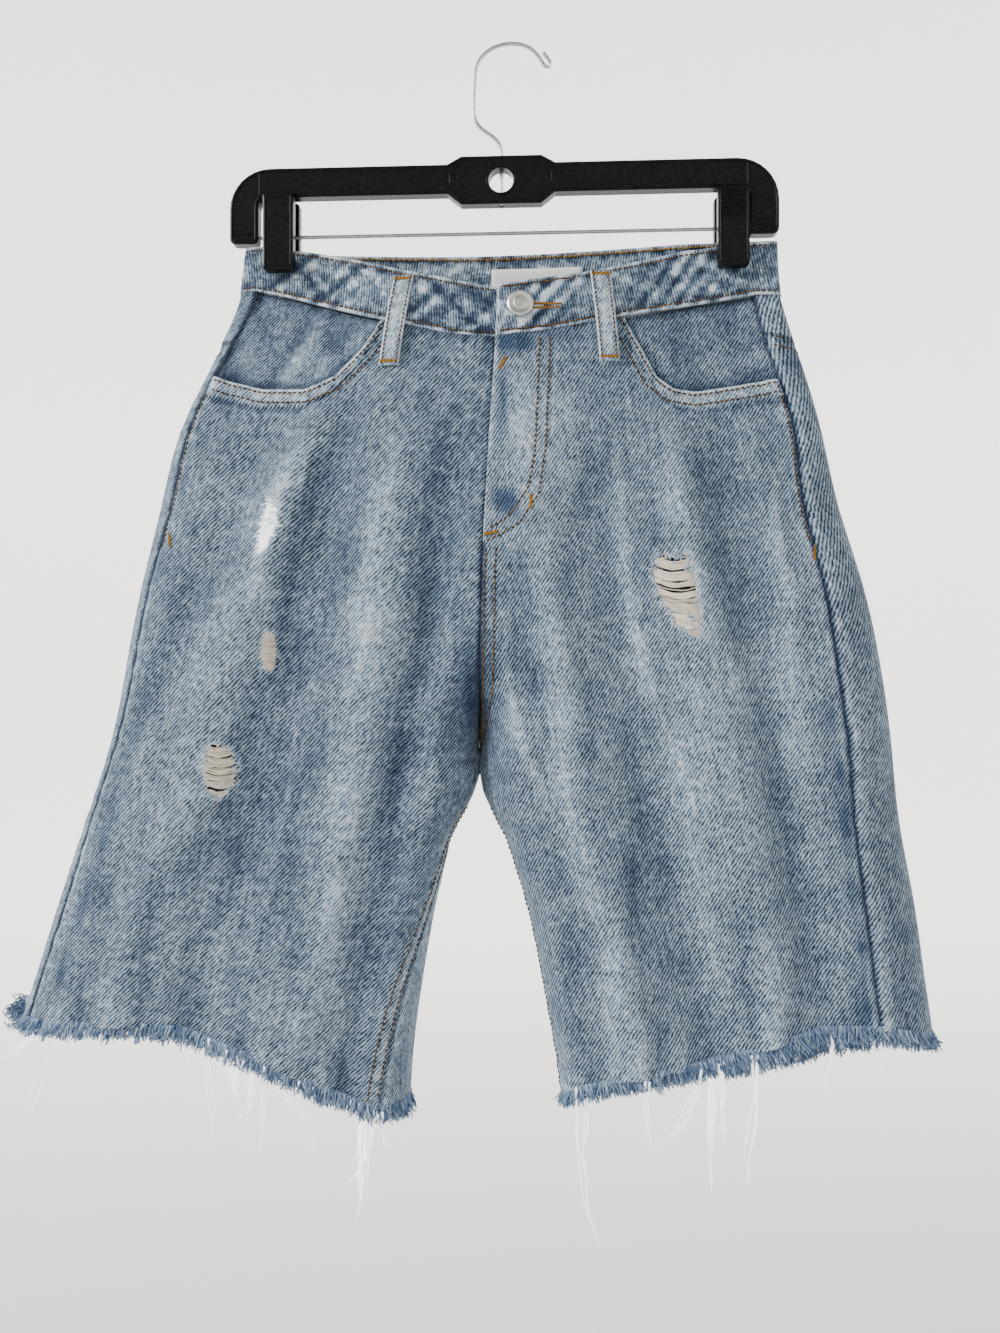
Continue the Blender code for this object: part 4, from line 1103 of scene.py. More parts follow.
def band_station(place, c):
    """The leg, face, share, upper and lower curves, and the outward shift, of one station."""
    if place == "under":
        curves = by_points(WAIST_TOP[LEFT]), by_points(WAIST_SEAM[LEFT])
        return LEFT, "front", UNDERLAP * (1 - c), curves, BAND_PROUD - LAYER
    side, face = place
    if face == "front":
        curves = by_points(WAIST_TOP[side]), by_points(WAIST_SEAM[side])
    else:
        curves = by_points(BACK_WAIST_TOP[side]), from_seam(WAIST_SEAM[side][-1][1], BACK_WAIST_SEAM)
    out = BAND_PROUD
    if place == (RIGHT, "front"):
        out -= LAYER * (1 - float(smooth((c - 0.02) / 0.18)))
    return side, face, c, curves, out


def band_path():
    """Stations round the waist, from the underlap's end to the tab's."""
    quarter = np.linspace(0, 1, 86)
    path = [("under", c) for c in np.linspace(0, 1, 18)[:-1]]
    path += [((RIGHT, "front"), c) for c in quarter[:-1]]
    path += [((RIGHT, "back"), c) for c in quarter[::-1]]
    path += [((LEFT, "back"), c) for c in quarter[:-1]]
    path += [((LEFT, "front"), c) for c in quarter[::-1]]
    return path


def band_points(parts):
    """Points in mm and normals round the waist, at these parts of the band's height."""
    found = []
    for place, c in band_path():
        side, face, share, (top, low), out = band_station(place, c)
        leg = LEGS[side]
        z_top = float(leg.height(face, share, top))
        z_low = float(leg.height(face, share, low)) + SEAM_GAP
        z = z_low + (z_top - z_low) * parts
        found.append(leg.put(face, share, z, out, False))
    return np.array(found).transpose(1, 2, 0, 3)


def make_waistband():
    parts = spaced(22, 0.3)
    point, normal = band_points(parts)
    middle = point[len(point) // 2]
    along = np.append(0, np.cumsum(np.linalg.norm(np.diff(middle, axis=0), axis=1)))
    high = parts[:, None] * BAND_HEIGHT
    from_edge = np.minimum(high, BAND_HEIGHT - high)
    rope = ripples(along[None, :] + 0.9 * high, 61, 12, 8) * (0.8 + 0.5 * ripples(along[None, :], 65, 60))
    slack = ripples(along[None, :] - 1.3 * high, 66, 24, 6)
    calm = [0.4 if place != "under" and place[1] == "back" else 1.0 for place, _ in band_path()]
    calm = np.convolve(np.pad(calm, 6, mode="edge"), np.ones(13) / 13, mode="valid")
    rope, slack = rope * calm, slack * calm
    pucker = 0.9 * rope * bell(from_edge, 8, 8) + 0.5 * slack * bell(from_edge, 8, 14)
    roll = 0.35 * ripples(along[None, :], 62, 70) * np.sin(math.pi * parts)[:, None]
    groove = -0.45 * bell(from_edge, 1.1, 2.6)
    lift = np.clip(1.2 * pucker + roll + groove, -1.2, 1.4)
    # The folded edges are paler with wear. The ridges of the rope puckers are paler and their valleys
    # darker, partly the wash's roping and partly painted shade, and indigo stays in the valleys. The dark
    # line just inside each row of stitches is painted shade in its groove.
    light = 0.40 * bell(from_edge, 1.6) + 0.74 * rope + 0.30 * slack
    light = light + 0.12 * ripples(along[None, :] + high, 63, 48) - 0.24 * bell(from_edge, 1.4, 3.8)
    indigo = 0.9 * smooth(2.2 * (-rope - 0.25)) * smooth(from_edge / 4) + 0.5 * smooth(1.5 * (slack - 0.6))
    ends = np.minimum(along, along[-1] - along)
    light = light + 0.25 * bell(ends, 1.5)[None, :]
    uv = np.stack(np.broadcast_arrays(along[None, :] * MM, high * MM), -1)
    point = point + normal * lift[..., None]
    return slab("waistband_cloth", point, normal, BAND, uv, {"light": light, "indigo": indigo})


panels["waistband", 0] = make_waistband()
dress(panels["waistband", 0], band_denim, "denim", "waistband")

LOOP = ("name", "side", "face", "top_x", "low_x", "top_z", "low_z")
LOOPS = (
    ("belt_loop_front_right", RIGHT, "front", -66, -75, -154, -213),
    ("belt_loop_front_left", LEFT, "front", 58, 64, -153, -212),
    ("belt_loop_back_right", RIGHT, "back", -104, -108, -135, -192),
    ("belt_loop_back_left", LEFT, "back", 104, 108, -134, -192),
    ("belt_loop_centre_back", LEFT, "back", -2, -2, -133, -192),
)
LOOP_WIDTH, LOOP_LENGTH, LOOP_THICKNESS = 12.5, 60, 1.6
LOOP_ROWS, LOOP_COLUMNS = 25, 9


def on_plain(face, x, z, out):
    """A point and the normal on the unfolded face at x and z, whichever leg that is."""
    leg = LEGS[LEFT] if x > float(LEGS[LEFT].at("centre", z)) else LEGS[RIGHT]
    return leg.put(face, leg.c_at(face, x, z), z, out, False)


loop_rows = {}
for row in LOOPS:
    loop = dict(zip(LOOP, row))
    spots = []
    shares = np.linspace(-0.5, 0.5, LOOP_COLUMNS)
    for part in np.linspace(0, 1, LOOP_ROWS):
        z = loop["top_z"] + (loop["low_z"] - loop["top_z"]) * part
        middle = loop["top_x"] + (loop["low_x"] - loop["top_x"]) * part
        spots.append([])
        for share in shares:
            bow = 2.4 * math.sin(math.pi * part) ** 0.7
            bow -= 0.35 * math.exp(-(((abs(share) - 0.36) / 0.06) ** 2))
            end = 0.5 * math.exp(-((min(part, 1 - part) / 0.05) ** 2))
            out = BAND_PROUD + LOOP_THICKNESS + 0.5 + bow + end
            spots[-1].append(on_plain(loop["face"], middle + LOOP_WIDTH * share, z, out))
    point, normal = np.array(spots).transpose(2, 0, 1, 3)
    loop_rows[loop["name"]] = (point, normal)
    tall = np.linspace(0, LOOP_LENGTH, LOOP_ROWS)[:, None] + 0 * shares[None, :]
    wide = shares[None, :] * LOOP_WIDTH + 0 * tall
    # Pale worn edges, paler towards the middle of its length, and a painted shade line just inside each row
    # of edge stitches, where the loop dips in a groove.
    light = 0.20 * bell(LOOP_WIDTH / 2 - abs(wide), 1.2) + 0.12 * np.sin(math.pi * tall / LOOP_LENGTH)
    light = light - 0.22 * bell(LOOP_WIDTH / 2 - 2.2 - abs(wide), 0.8)
    uv = np.stack([wide * MM, -tall * MM + 0.1], -1)
    values = {"light": light, "indigo": 0 * light}
    made = slab(loop["name"] + "_cloth", point, normal, LOOP_THICKNESS, uv, values)
    panels["loop", loop["name"]] = made
    dress(made, loop_denim, "denim", loop["name"])

LABEL_X, LABEL_Z, LABEL_THICKNESS = (-12, 48), (-141, -163), 0.8
LABEL_ROWS, LABEL_COLUMNS = 8, 20
xs, zs = np.linspace(*LABEL_X, LABEL_COLUMNS), np.linspace(*LABEL_Z, LABEL_ROWS)
spots = [[on_plain("back", x, z, -(BAND - BAND_PROUD + 0.5)) for x in xs] for z in zs]
point, normal = np.array(spots).transpose(2, 0, 1, 3)
sag = 0.25 * np.sin(np.linspace(0, 9, LABEL_COLUMNS)) * np.linspace(0, 1, LABEL_ROWS)[:, None]
point = point - normal * abs(sag)[..., None]
uv = point[..., (0, 2)] * MM
label = slab("label_cloth", point, normal, LABEL_THICKNESS, uv, {})
panels["label", 0] = dress(label, label_cloth, "label_cloth", "label")


# ---------------------------------------------------------------- rows of stitches


def tree_of(*objects):
    """A search tree over the faces of some pieces, all in the row frame."""
    points, faces = [], []
    for obj in objects:
        start = len(points)
        points += [v.co.copy() for v in obj.data.vertices]
        faces += [tuple(start + i for i in polygon.vertices) for polygon in obj.data.polygons]
    return BVHTree.FromPolygons(points, faces)


def straight_on(tree, face, x, z):
    """Where a straight look at the front or back first meets the pieces, in mm, and the normal."""
    sign = -1 if face == "front" else 1
    found, normal, _, _ = tree.ray_cast(Vector((x * MM, sign * 0.3, z * MM)), Vector((0, -sign, 0)))
    if found is None:
        return None
    normal = normal if normal.y * sign > 0 else -normal
    return np.array(found) / MM, np.array(normal)


def landed(tree, point, normal, off=12.0):
    """The surface's point in line with a place just off the form, in mm."""
    start = Vector((point + normal * off) * MM)
    found, _, _, _ = tree.ray_cast(start, Vector(-normal), 2 * off * MM)
    return point if found is None else np.array(found) / MM


def route(points, step=1.0):
    """Evenly spaced points in mm along a polyline, given with other columns if need be."""
    points = np.array(points, float)
    length = np.append(0, np.cumsum(np.linalg.norm(np.diff(points[:, :3], axis=0), axis=1)))
    along = np.linspace(0, length[-1], max(2, int(length[-1] / step)))
    return np.stack([np.interp(along, length, points[:, k]) for k in range(points.shape[1])], -1)


ROW_STEP = 0.8  # spacing in mm of the points along which a row of stitches is laid
BAR_PITCH = 0.55

STITCH_SHAPE = np.array(
    [(0, 0, -0.35)]
    + [(0.22, y, z) for y, z in ((0.5, 0.1), (0, 0.6), (-0.5, 0.1), (0, -0.4))]
    + [(0.78, y, z) for y, z in ((0.5, 0.1), (0, 0.6), (-0.5, 0.1), (0, -0.4))]
    + [(1, 0, -0.35)]
)
STITCH_FACES = []
for i in range(4):
    k = (i + 1) % 4
    STITCH_FACES += [(0, 1 + k, 1 + i), (1 + i, 1 + k, 5 + k), (1 + i, 5 + k, 5 + i), (5 + i, 5 + k, 9)]
STITCH_FACES = np.array(STITCH_FACES)


class Stitches:
    """Gathers stitches, each from one place to another with an outward normal, as one mesh."""

    def __init__(self):
        self.starts, self.ends, self.normals, self.widths = [], [], [], []

    def add(self, start, end, normal, width):
        self.starts.append(start)
        self.ends.append(end)
        self.normals.append(normal)
        self.widths.append(width)

    def row(self, points, normals, pitch=3.4, share=0.94, width=1.3, seed=1):
        """A seam: stitches of share times the pitch along points in mm."""
        dice = random.Random(seed)
        line = route(np.concatenate([points, normals], 1), ROW_STEP)
        count = int(len(line) * ROW_STEP / pitch)
        for i in range(count):
            a = i * pitch / ROW_STEP
            b = a + (share + dice.uniform(-0.04, 0.04)) * pitch / ROW_STEP
            if b > len(line) - 1:
                break
            start, end = [
                np.array([np.interp(t, np.arange(len(line)), line[:, k]) for k in range(6)]) for t in (a, b)
            ]
            slip = np.cross(end[:3] - start[:3], start[3:]) * dice.uniform(-0.05, 0.05)
            self.add(start[:3] + slip, end[:3] + slip, start[3:], width)

    def bar(self, middle, along, across, normal, length, wide):
        """A bartack: close stitches to and fro across its width."""
        count = int(length / BAR_PITCH)
        for i in range(count):
            at = middle + along * length * ((i + 0.5) / count - 0.5)
            flip = 1 if i % 2 else -1
            half = across * wide / 2 * flip + along * 0.25
            self.add(at - half, at + half, normal, 0.7)

    def make(self, name):
        start, end = np.array(self.starts), np.array(self.ends)
        normal, width = np.array(self.normals), np.array(self.widths)[:, None, None]
        along = end - start
        side = np.cross(along, normal)
        side /= np.linalg.norm(side, axis=1, keepdims=True)
        up = normal / np.linalg.norm(normal, axis=1, keepdims=True)
        shape = STITCH_SHAPE[None]
        points = start[:, None] + along[:, None] * shape[..., :1]
        points = points + side[:, None] * shape[..., 1:2] * width + up[:, None] * shape[..., 2:3] * width
        faces = STITCH_FACES[None] + (np.arange(len(start)) * len(STITCH_SHAPE))[:, None, None]
        dice = np.random.default_rng(7)
        tint = np.repeat(dice.uniform(0.2, 0.9, len(start)), len(STITCH_SHAPE))
        points = points.reshape(-1, 3) * MM
        return mesh_from(name, points, faces.reshape(-1, 3), attributes={"tint": tint})


trees = {}
for side in (RIGHT, LEFT):
    trees["front", side] = tree_of(panels["front", side])
    trees["back", side] = tree_of(panels["back", side], panels["yoke", side])
fronts = tree_of(*[panels[key] for key in panels if key[0] in ("front", "waistband", "loop")])


def panel_line(side, face, heights, length_at):
    """Points and normals on a panel at these heights. length_at gives how far from the first seam
    each lies, from its number and the face's whole length there."""
    leg, found = LEGS[side], []
    steps = np.linspace(0, 1, 300)
    for i, z in enumerate(heights):
        table = leg.length(face, steps, z)
        found.append(np.interp(length_at(i, table[-1]), table, steps))
    points, normals = leg.put(face, np.array(found), np.asarray(heights, float))
    return np.array([landed(trees[face, side], p, n) for p, n in zip(points, normals)]), normals


def seam_line(side, face, off, heights, first):
    """A line off mm from a panel's first seam, or else from its side seam."""
    return panel_line(side, face, heights, lambda i, whole: off if first else whole - off)


def share_line(side, face, curve, drop, start, end):
    """A line drop mm below a curve that gives heights by share."""
    shares = np.linspace(start, end, 70)
    return panel_line(side, face, curve(shares) - drop, lambda i, whole: shares[i] * whole)


def drawn(outline, tree, face):
    """A line drawn by x and z on what a straight look meets."""
    found = [straight_on(tree, face, x, z) for x, z in route(outline, 1.5)]
    found = [f for f in found if f is not None]
    return np.array([p for p, _ in found]), np.array([n for _, n in found])


SEAM_ROWS, POCKET_ROWS = (2.2, 8.4), (2.2, 8.6)  # how far each row of stitches is from the edge
brown, amber = Stitches(), Stitches()
for seed, outline in enumerate((FLY_STITCH, FLY_INNER)):
    brown.row(*drawn(outline, trees["front", LEFT], "front"), seed=seed)
for side in (RIGHT, LEFT):
    corner = POCKET[side][0][0]
    pocket = POCKET[side]
    for drop in POCKET_ROWS:
        outline = share_line(side, "front", by_points(pocket), 0, corner, 0.995)[0][:, [0, 2]]
        way = np.gradient(outline, axis=0)
        way /= np.linalg.norm(way, axis=1, keepdims=True)
        out = np.stack([way[:, 1], -way[:, 0]], -1) * side
        shifted = outline + out * drop
        keep = shifted[:, 1] < np.interp(shifted[:, 0] * side, outline[:, 0] * side, outline[:, 1]) + 30
        brown.row(*drawn(shifted[keep], trees["front", side], "front"), seed=int(drop) + side)
    for off in SEAM_ROWS:
        heights = np.arange(CROTCH_Z - 26, float(hem_curve(side, "front")(0)) + 4, -2.5)
        if side == RIGHT or off == SEAM_ROWS[1]:
            brown.row(*seam_line(side, "front", off, heights, True), seed=3)
        yoke = from_seam(YOKE_SEAM[0], YOKE_SEAM[2])
        brown.row(*share_line(side, "back", yoke, off, 0.01, 0.99), seed=4)
    heights = np.arange(-226, -331, -2.5)
    brown.row(*seam_line(side, "front", 2.6, heights, False), seed=5)
for off in SEAM_ROWS:
    heights = np.arange(YOKE_SEAM[2] - 4, CROTCH_Z + 4, -2.5)
    brown.row(*seam_line(LEFT, "back", off, heights, True), seed=6)
    heights = np.arange(FLY_END - 4, CROTCH_Z + 6, -2.5)
    brown.row(*seam_line(LEFT, "front", off, heights, True), seed=7)

# Close, thick stitches over the point where the legs part.
heights = np.arange(CROTCH_Z + 26, CROTCH_Z - 8, -1.5)
brown.row(*seam_line(LEFT, "front", 0.2, heights, True), pitch=1.5, share=1.2, width=2.6, seed=11)

band_tree = tree_of(panels["waistband", 0])
for part in (0.075, 0.93):
    points, normals = band_points(np.array([part]))[:, 0]
    points = np.array([landed(band_tree, p, n, 5.0) for p, n in zip(points, normals)])
    brown.row(points, normals, seed=8)
    amber.row(points - normals * (BAND + 0.2), -normals, width=1.35, seed=9)

X_WAY, Z_WAY = np.array((1.0, 0, 0)), np.array((0, 0, 1.0))
for name, (point, normal) in loop_rows.items():
    for j in (1, LOOP_COLUMNS - 2):
        brown.row(point[:, j] + normal[:, j] * 0.25, normal[:, j], pitch=2.8, width=1.0, seed=j)
    for i in (1, LOOP_ROWS - 2):
        place, facing = point[i, LOOP_COLUMNS // 2], normal[i, LOOP_COLUMNS // 2]
        amber.bar(place + facing * 0.25, X_WAY, Z_WAY, facing, LOOP_WIDTH - 1, 2.4)

# Bartacks: x, z, the angle of their length from +X in degrees, and that length.
BARTACKS = (
    (190, -333, 75, 11),
    (-216, -322, 105, 11),
    (-3, -213, 60, 9),
    (15, -301, 90, 9),
    (-10, -320, 10, 9),
)
for x, z, angle, length in BARTACKS:
    found = straight_on(fronts, "front", x, z)
    if found is not None:
        point, normal = found
        turn = math.radians(angle)
        along = math.cos(turn) * X_WAY + math.sin(turn) * Z_WAY
        along = along - normal * (along @ normal)
        along /= np.linalg.norm(along)
        amber.bar(point + normal * 0.25, along, np.cross(along, normal), normal, length, 2.6)

# The buttonhole's slit runs out from under the button.
BUTTONHOLE_STITCHES = 56
for i in range(BUTTONHOLE_STITCHES):
    a = i / BUTTONHOLE_STITCHES
    spread = (2.6 - 0.8 * a) * (1 if i % 2 else -1)
    x = 14 + 20 * a
    found = straight_on(fronts, "front", x, -176 + 0.5 * a)
    if found is not None:
        point, normal = found
        point = point + normal * 0.2
        amber.add(point + Z_WAY * 0.3 * np.sign(spread), point + Z_WAY * spread, normal, 0.75)

stitch_brown = dress(brown.make("stitches_brown"), thread_brown, "loose_thread")
stitch_amber = dress(amber.make("stitches_amber"), thread_amber, "loose_thread")


# ---------------------------------------------------------------- loose yarn


class Strands:
    """Gathers thin yarns, each a run of points in mm, as one mesh."""

    def __init__(self, sides=3):
        self.sides, self.points, self.faces, self.tints, self.count = sides, [], [], [], 0

    def add(self, line, radius, tint, taper=0.5):
        line = np.asarray(line, float)
        way = np.gradient(line, axis=0)
        way /= np.maximum(np.linalg.norm(way, axis=1, keepdims=True), 1e-9)
        guide = np.array((0.31, 0.93, 0.19))
        side = np.cross(way, guide)
        side /= np.maximum(np.linalg.norm(side, axis=1, keepdims=True), 1e-9)
        up = np.cross(way, side)
        rows = len(line)
        width = radius * (1 - taper * np.linspace(0, 1, rows) ** 3)
        angles = 2 * math.pi * np.arange(self.sides) / self.sides
        ring = side[:, None] * np.cos(angles)[None, :, None] + up[:, None] * np.sin(angles)[None, :, None]
        self.points.append((line[:, None] + ring * width[:, None, None]).reshape(-1, 3))
        for i in range(rows - 1):
            for j in range(self.sides):
                k = (j + 1) % self.sides
                a, b = self.count + i * self.sides + j, self.count + i * self.sides + k
                self.faces.append((a, b, b + self.sides, a + self.sides))
        self.tints += [tint] * (rows * self.sides)
        self.count += rows * self.sides

    def make(self, name):
        points = np.concatenate(self.points) * MM
        return mesh_from(name, points, np.array(self.faces), attributes={"tint": self.tints})


def hem_ring(side, drop=0.0):
    """Points, outward normals and downward ways round a hem, in mm, and the length along it."""
    leg, points, normals, downs = LEGS[side], [], [], []
    for face, order in (("front", np.linspace(0, 1, 150)), ("back", np.linspace(1, 0, 150))):
        z = leg.height(face, order, hem_curve(side, face)) - drop
        p, n = leg.put(face, order, z, -DENIM / 2)
        lower, _ = leg.put(face, order, z - 8, -DENIM / 2)
        down = lower - p
        points.append(p)
        normals.append(n)
        downs.append(down / np.linalg.norm(down, axis=1, keepdims=True))
    points, normals, downs = np.concatenate(points), np.concatenate(normals), np.concatenate(downs)
    length = np.append(0, np.cumsum(np.linalg.norm(np.diff(points, axis=0), axis=1)))
    return points, normals, downs, length


def at_length(table, length, where):
    return np.stack([np.interp(where, length, table[:, k]) for k in range(3)], -1)


FRINGE_YARNS, CORNER_YARNS = 3900, 170
FRINGE_REACH, FRINGE_ROOT = 9.5, 3.2  # how far its yarns reach past the hem, and start above it
rings = {side: hem_ring(side) for side in (RIGHT, LEFT)}


def make_fringe(side):
    points, normals, downs, length = rings[side]
    dice = np.random.default_rng(100 + side)
    yarns = Strands()
    where = np.sort(dice.uniform(0, length[-1], FRINGE_YARNS))
    clump = ripples(where, 200 + side, 9, 7)
    bias = ripples(where, 210 + side, 30, 5)
    lean = ripples(where, 220 + side, 22, 6)
    base, out, down = [at_length(t, length, where) for t in (points, normals, downs)]
    along = np.cross(out, down)
    along /= np.linalg.norm(along, axis=1, keepdims=True)
    for i in range(FRINGE_YARNS):
        reach = FRINGE_REACH + 2.2 * clump[i] + 1.4 * bias[i] + dice.normal(0, 1.5)
        reach = float(np.clip(reach, 4.0, 14))
        tip_along = 2.2 * lean[i] + dice.normal(0, 2.0)
        tip_out = dice.normal(0.8, 1.9)
        curl, phase = dice.uniform(0.3, 1.4), dice.uniform(0, 6.3)
        t = np.linspace(0, 1, 6)
        wave = curl * np.sin(phase + 5.0 * t) * t
        turn = curl * np.cos(phase + 4.0 * t) * t
        line = base[i] + down[i] * (reach * t - FRINGE_ROOT)[:, None]
        line = line + along[i] * (tip_along * t**1.5 + wave)[:, None]
        skin = dice.choice((-1.0, 1.0)) * dice.uniform(0.5, 1.1)
        line = line + out[i] * (skin + tip_out * t**1.3 + turn)[:, None]
        if dice.random() < 0.10:
            tint = dice.uniform(0.7, 1.0)
        else:
            tint = float(np.clip(dice.normal(0.36, 0.13) + 0.14 * clump[i], 0.05, 0.75))
        yarns.add(line, dice.uniform(0.34, 0.54), tint, 0.25)
    if side == RIGHT:
        corner = points[np.argmin(points[:, 0])]
        for _ in range(CORNER_YARNS):
            t = np.linspace(0, 1, 7)
            turn, size = dice.uniform(0, 2 * math.pi), dice.uniform(1.5, 3.5)
            angles = turn + dice.uniform(2, 5) * t
            start = corner + np.array((dice.normal(-6, 4.5), dice.normal(0, 4), dice.normal(2, 4)))
            loop = (np.cos(angles) * size, np.sin(2 * angles) * 1.5, np.sin(angles) * size)
            line = start + np.stack(loop, -1)
            yarns.add(line, dice.uniform(0.34, 0.5), float(np.clip(dice.normal(0.4, 0.16), 0.05, 0.9)), 0.3)
    return yarns.make(f"fringe_{side_name(side)}_yarn")


for side in (RIGHT, LEFT):
    dress(make_fringe(side), yarn_blue, "frayed_denim", f"fringe_{side_name(side)}")

# Bunches of long white threads, by leg: where along X they leave the hem, where they end, how many,
# how far their ends spread, and how much they wave.
BUNCH = ("x", "end_x", "end_z", "count", "spread", "wave")
BUNCHES = {
    RIGHT: (
        (-300, -338, -662, 5, 9, 3),
        (-296, -313, -699, 2, 5, 5),
        (-292, -322, -650, 3, 6, 4),
        (-190, -182, -714, 2, 8, 4),
        (-172, -170, -684, 7, 9, 2),
        (-160, -162, -690, 6, 8, 2),
        (-150, -157, -708, 2, 6, 4),
        (-128, -119, -717, 2, 5, 6),
        (-90, -95, -751, 13, 4, 3),
        (-168, -150, -676, 5, 12, 3),
        (-205, -190, -668, 4, 9, 3),
        (-140, -132, -684, 4, 10, 3),
        (-84, -100, -728, 3, 6, 5),
        (-80, -76, -706, 3, 5, 2),
    ),
    LEFT: (
        (46, 56, -769, 3, 4, 6),
        (52, 44, -712, 2, 5, 4),
        (84, 86, -712, 3, 6, 3),
        (118, 95, -707, 5, 5, 4),
        (126, 127, -731, 7, 3, 2),
        (131, 134, -720, 3, 4, 5),
        (152, 151, -728, 3, 4, 8),
        (200, 196, -672, 2, 5, 3),
        (232, 236, -668, 2, 4, 3),
    ),
}


def hem_at(side, x):
    points = rings[side][0]
    half = len(points) // 2
    order = np.argsort(points[:half, 0])
    return np.array([np.interp(x, points[:half, 0][order], points[:half, k][order]) for k in range(3)])


def make_threads(side):
    dice = random.Random(300 + side)
    strands = Strands(4)
    for row in BUNCHES[side]:
        bunch = dict(zip(BUNCH, row))
        base = hem_at(side, bunch["x"])
        phase = dice.uniform(0, 6)
        for _ in range(bunch["count"]):
            keep = dice.uniform(0.55, 1.0) if bunch["count"] > 1 else 1.0
            start = base + np.array((dice.gauss(0, 2.2), dice.gauss(0, 1.0), dice.uniform(-2, 2)))
            end_x = bunch["end_x"] + dice.gauss(0, bunch["spread"] * 0.4)
            end = np.array((end_x, start[1] + dice.gauss(0, 4), bunch["end_z"]))
            end = start + (end - start) * keep
            t = np.linspace(0, 1, 16)
            sway = bunch["wave"] * 0.5
            own = dice.uniform(0, 6)
            line = start + (end - start) * t[:, None]
            line[:, 0] += sway * np.sin(phase + 4.5 * t) * t + 0.7 * np.sin(own + 15 * t) * t
            line[:, 0] += (start[0] - end[0]) * 0.25 * np.sin(math.pi * t)
            line[:, 1] += sway * np.cos(own + 5 * t) * t
            strands.add(line, dice.uniform(0.55, 1.0), dice.uniform(0.8, 1.0), 0.5)
    return strands


for side, nodes in (
    (RIGHT, ("thread_tuft_right_outer", "thread_tuft_right_inner")),
    (LEFT, ("thread_tuft_left_inner", "thread_tuft_left_middle")),
):
    made = make_threads(side).make(f"threads_{side_name(side)}")
    dress(made, yarn_white, "loose_thread", *nodes)


# Rips: weft threads still cross each hole, and short ends stand along its edge.
def make_rip(side, outline, gap, seed, frayed=1.0):
    dice = random.Random(seed)
    strands = Strands(4)
    xs, zs = [x for x, _ in outline], [z for _, z in outline]
    tree = trees["front", side]
    z = min(zs) + 0.4
    lean = dice.uniform(-1.5, -0.5)
    while z < max(zs):
        across = np.linspace(min(xs) - 2, max(xs) + 2, 60)
        within, _ = inside(across, np.full(60, z), outline)
        if within.any():
            left = across[within][0] - dice.uniform(0.4, 1.8)
            right = across[within][-1] + dice.uniform(0.4, 1.8)
            ends = [straight_on(tree, "front", x, z) for x in (left, right)]
            if None in ends:
                z += gap
                continue
            depth = [point[1] + 0.5 for point, _ in ends]
            t = np.linspace(0, 1, 9)
            slack = -0.09 * (right - left) - dice.uniform(0, 0.8)
            deep = depth[0] + (depth[1] - depth[0]) * t
            line = np.stack([left + (right - left) * t, deep, np.full(9, z)], -1)
            line[:, 1] -= 0.25 + dice.uniform(0, 0.5) + 0.5 * np.sin(math.pi * t)
            line[:, 2] += slack * np.sin(math.pi * t) + 0.25 * np.sin(9 * t + dice.uniform(0, 6))
            line[:, 2] += (0.06 * (line[:, 0] - left)) * lean
            strands.add(line, dice.uniform(0.36, 0.52), dice.uniform(0.2, 1.0), 0.0)
        z += gap * dice.uniform(0.5, 1.1)
    edge = route(list(outline) + [outline[0]], 0.8)
    for x, z in edge:
        if dice.random() > 0.75 * frayed:
            continue
        found = straight_on(tree, "front", x + dice.gauss(0, 1), z + dice.gauss(0, 1))
        if found is None:
            continue
        point, normal = found
        angle = dice.choice((0, math.pi)) + dice.gauss(0, 0.5)
        reach = dice.uniform(1.5, 5.0)
        t = np.linspace(0, 1, 6)
        line = point + normal * (0.1 + 0.9 * np.sin(2 * t))[:, None]
        line[:, 0] += reach * math.cos(angle) * t
        line[:, 2] += reach * math.sin(angle) * t - 1.2 * t**2
        strands.add(line, dice.uniform(0.18, 0.30), dice.uniform(0.3, 1.0), 0.5)
    return strands


def make_curls(side, outline, seed):
    """Short blue and white warp ends that curl along a rip's upper and lower edges."""
    dice = random.Random(seed)
    curls = Strands(4)
    zs = [z for _, z in outline]
    middle = (min(zs) + max(zs)) / 2
    for x, z in route(list(outline) + [outline[0]], 0.7):
        near_end = abs(z - middle) / (max(zs) - middle)
        if dice.random() > 0.15 + 0.75 * near_end**3:
            continue
        found = straight_on(trees["front", side], "front", x + dice.gauss(0, 1), z + dice.gauss(0, 1.2))
        if found is None:
            continue
        point, normal = found
        turn, size = dice.uniform(0, 2 * math.pi), dice.uniform(1.2, 2.6)
        bend = dice.uniform(2.0, 4.5) * dice.choice((-1, 1))
        angles = turn + bend * np.linspace(0, 1, 7)
        line = point + normal * (0.3 + dice.uniform(0.2, 1.6) * np.linspace(0, 1, 7))[:, None]
        line[:, 0] += size * (np.cos(angles) - math.cos(turn))
        line[:, 2] += size * (np.sin(angles) - math.sin(turn))
        radius = dice.uniform(0.30, 0.45)
        tint = dice.choice((dice.uniform(0.3, 0.6), dice.uniform(0.7, 1.0)))
        curls.add(line, radius, tint, 0.3)
    return curls


for side in (RIGHT, LEFT):
    for i, outline in enumerate(HOLES[side]):
        curls = make_curls(side, outline, 480 + 10 * side + i)
        made = curls.make(f"rip_curls_{side_name(side)}_{i + 1}")
        dress(made, yarn_blue, "frayed_denim")
for side in (RIGHT, LEFT):
    for i, outline in enumerate(HOLES[side]):
        wefts = make_rip(side, outline, 0.40, 400 + 10 * side + i)
        made = wefts.make(f"rip_{side_name(side)}_{i + 1}")
        dress(made, yarn_cream, "loose_thread")
for i, (outline, yarn) in enumerate(zip(SLITS, (yarn_white, yarn_cream))):
    made = make_rip(RIGHT, outline, 0.85, 450 + i, 0.9).make(f"rip_right_{i + 2}")
    dress(made, yarn, "loose_thread")


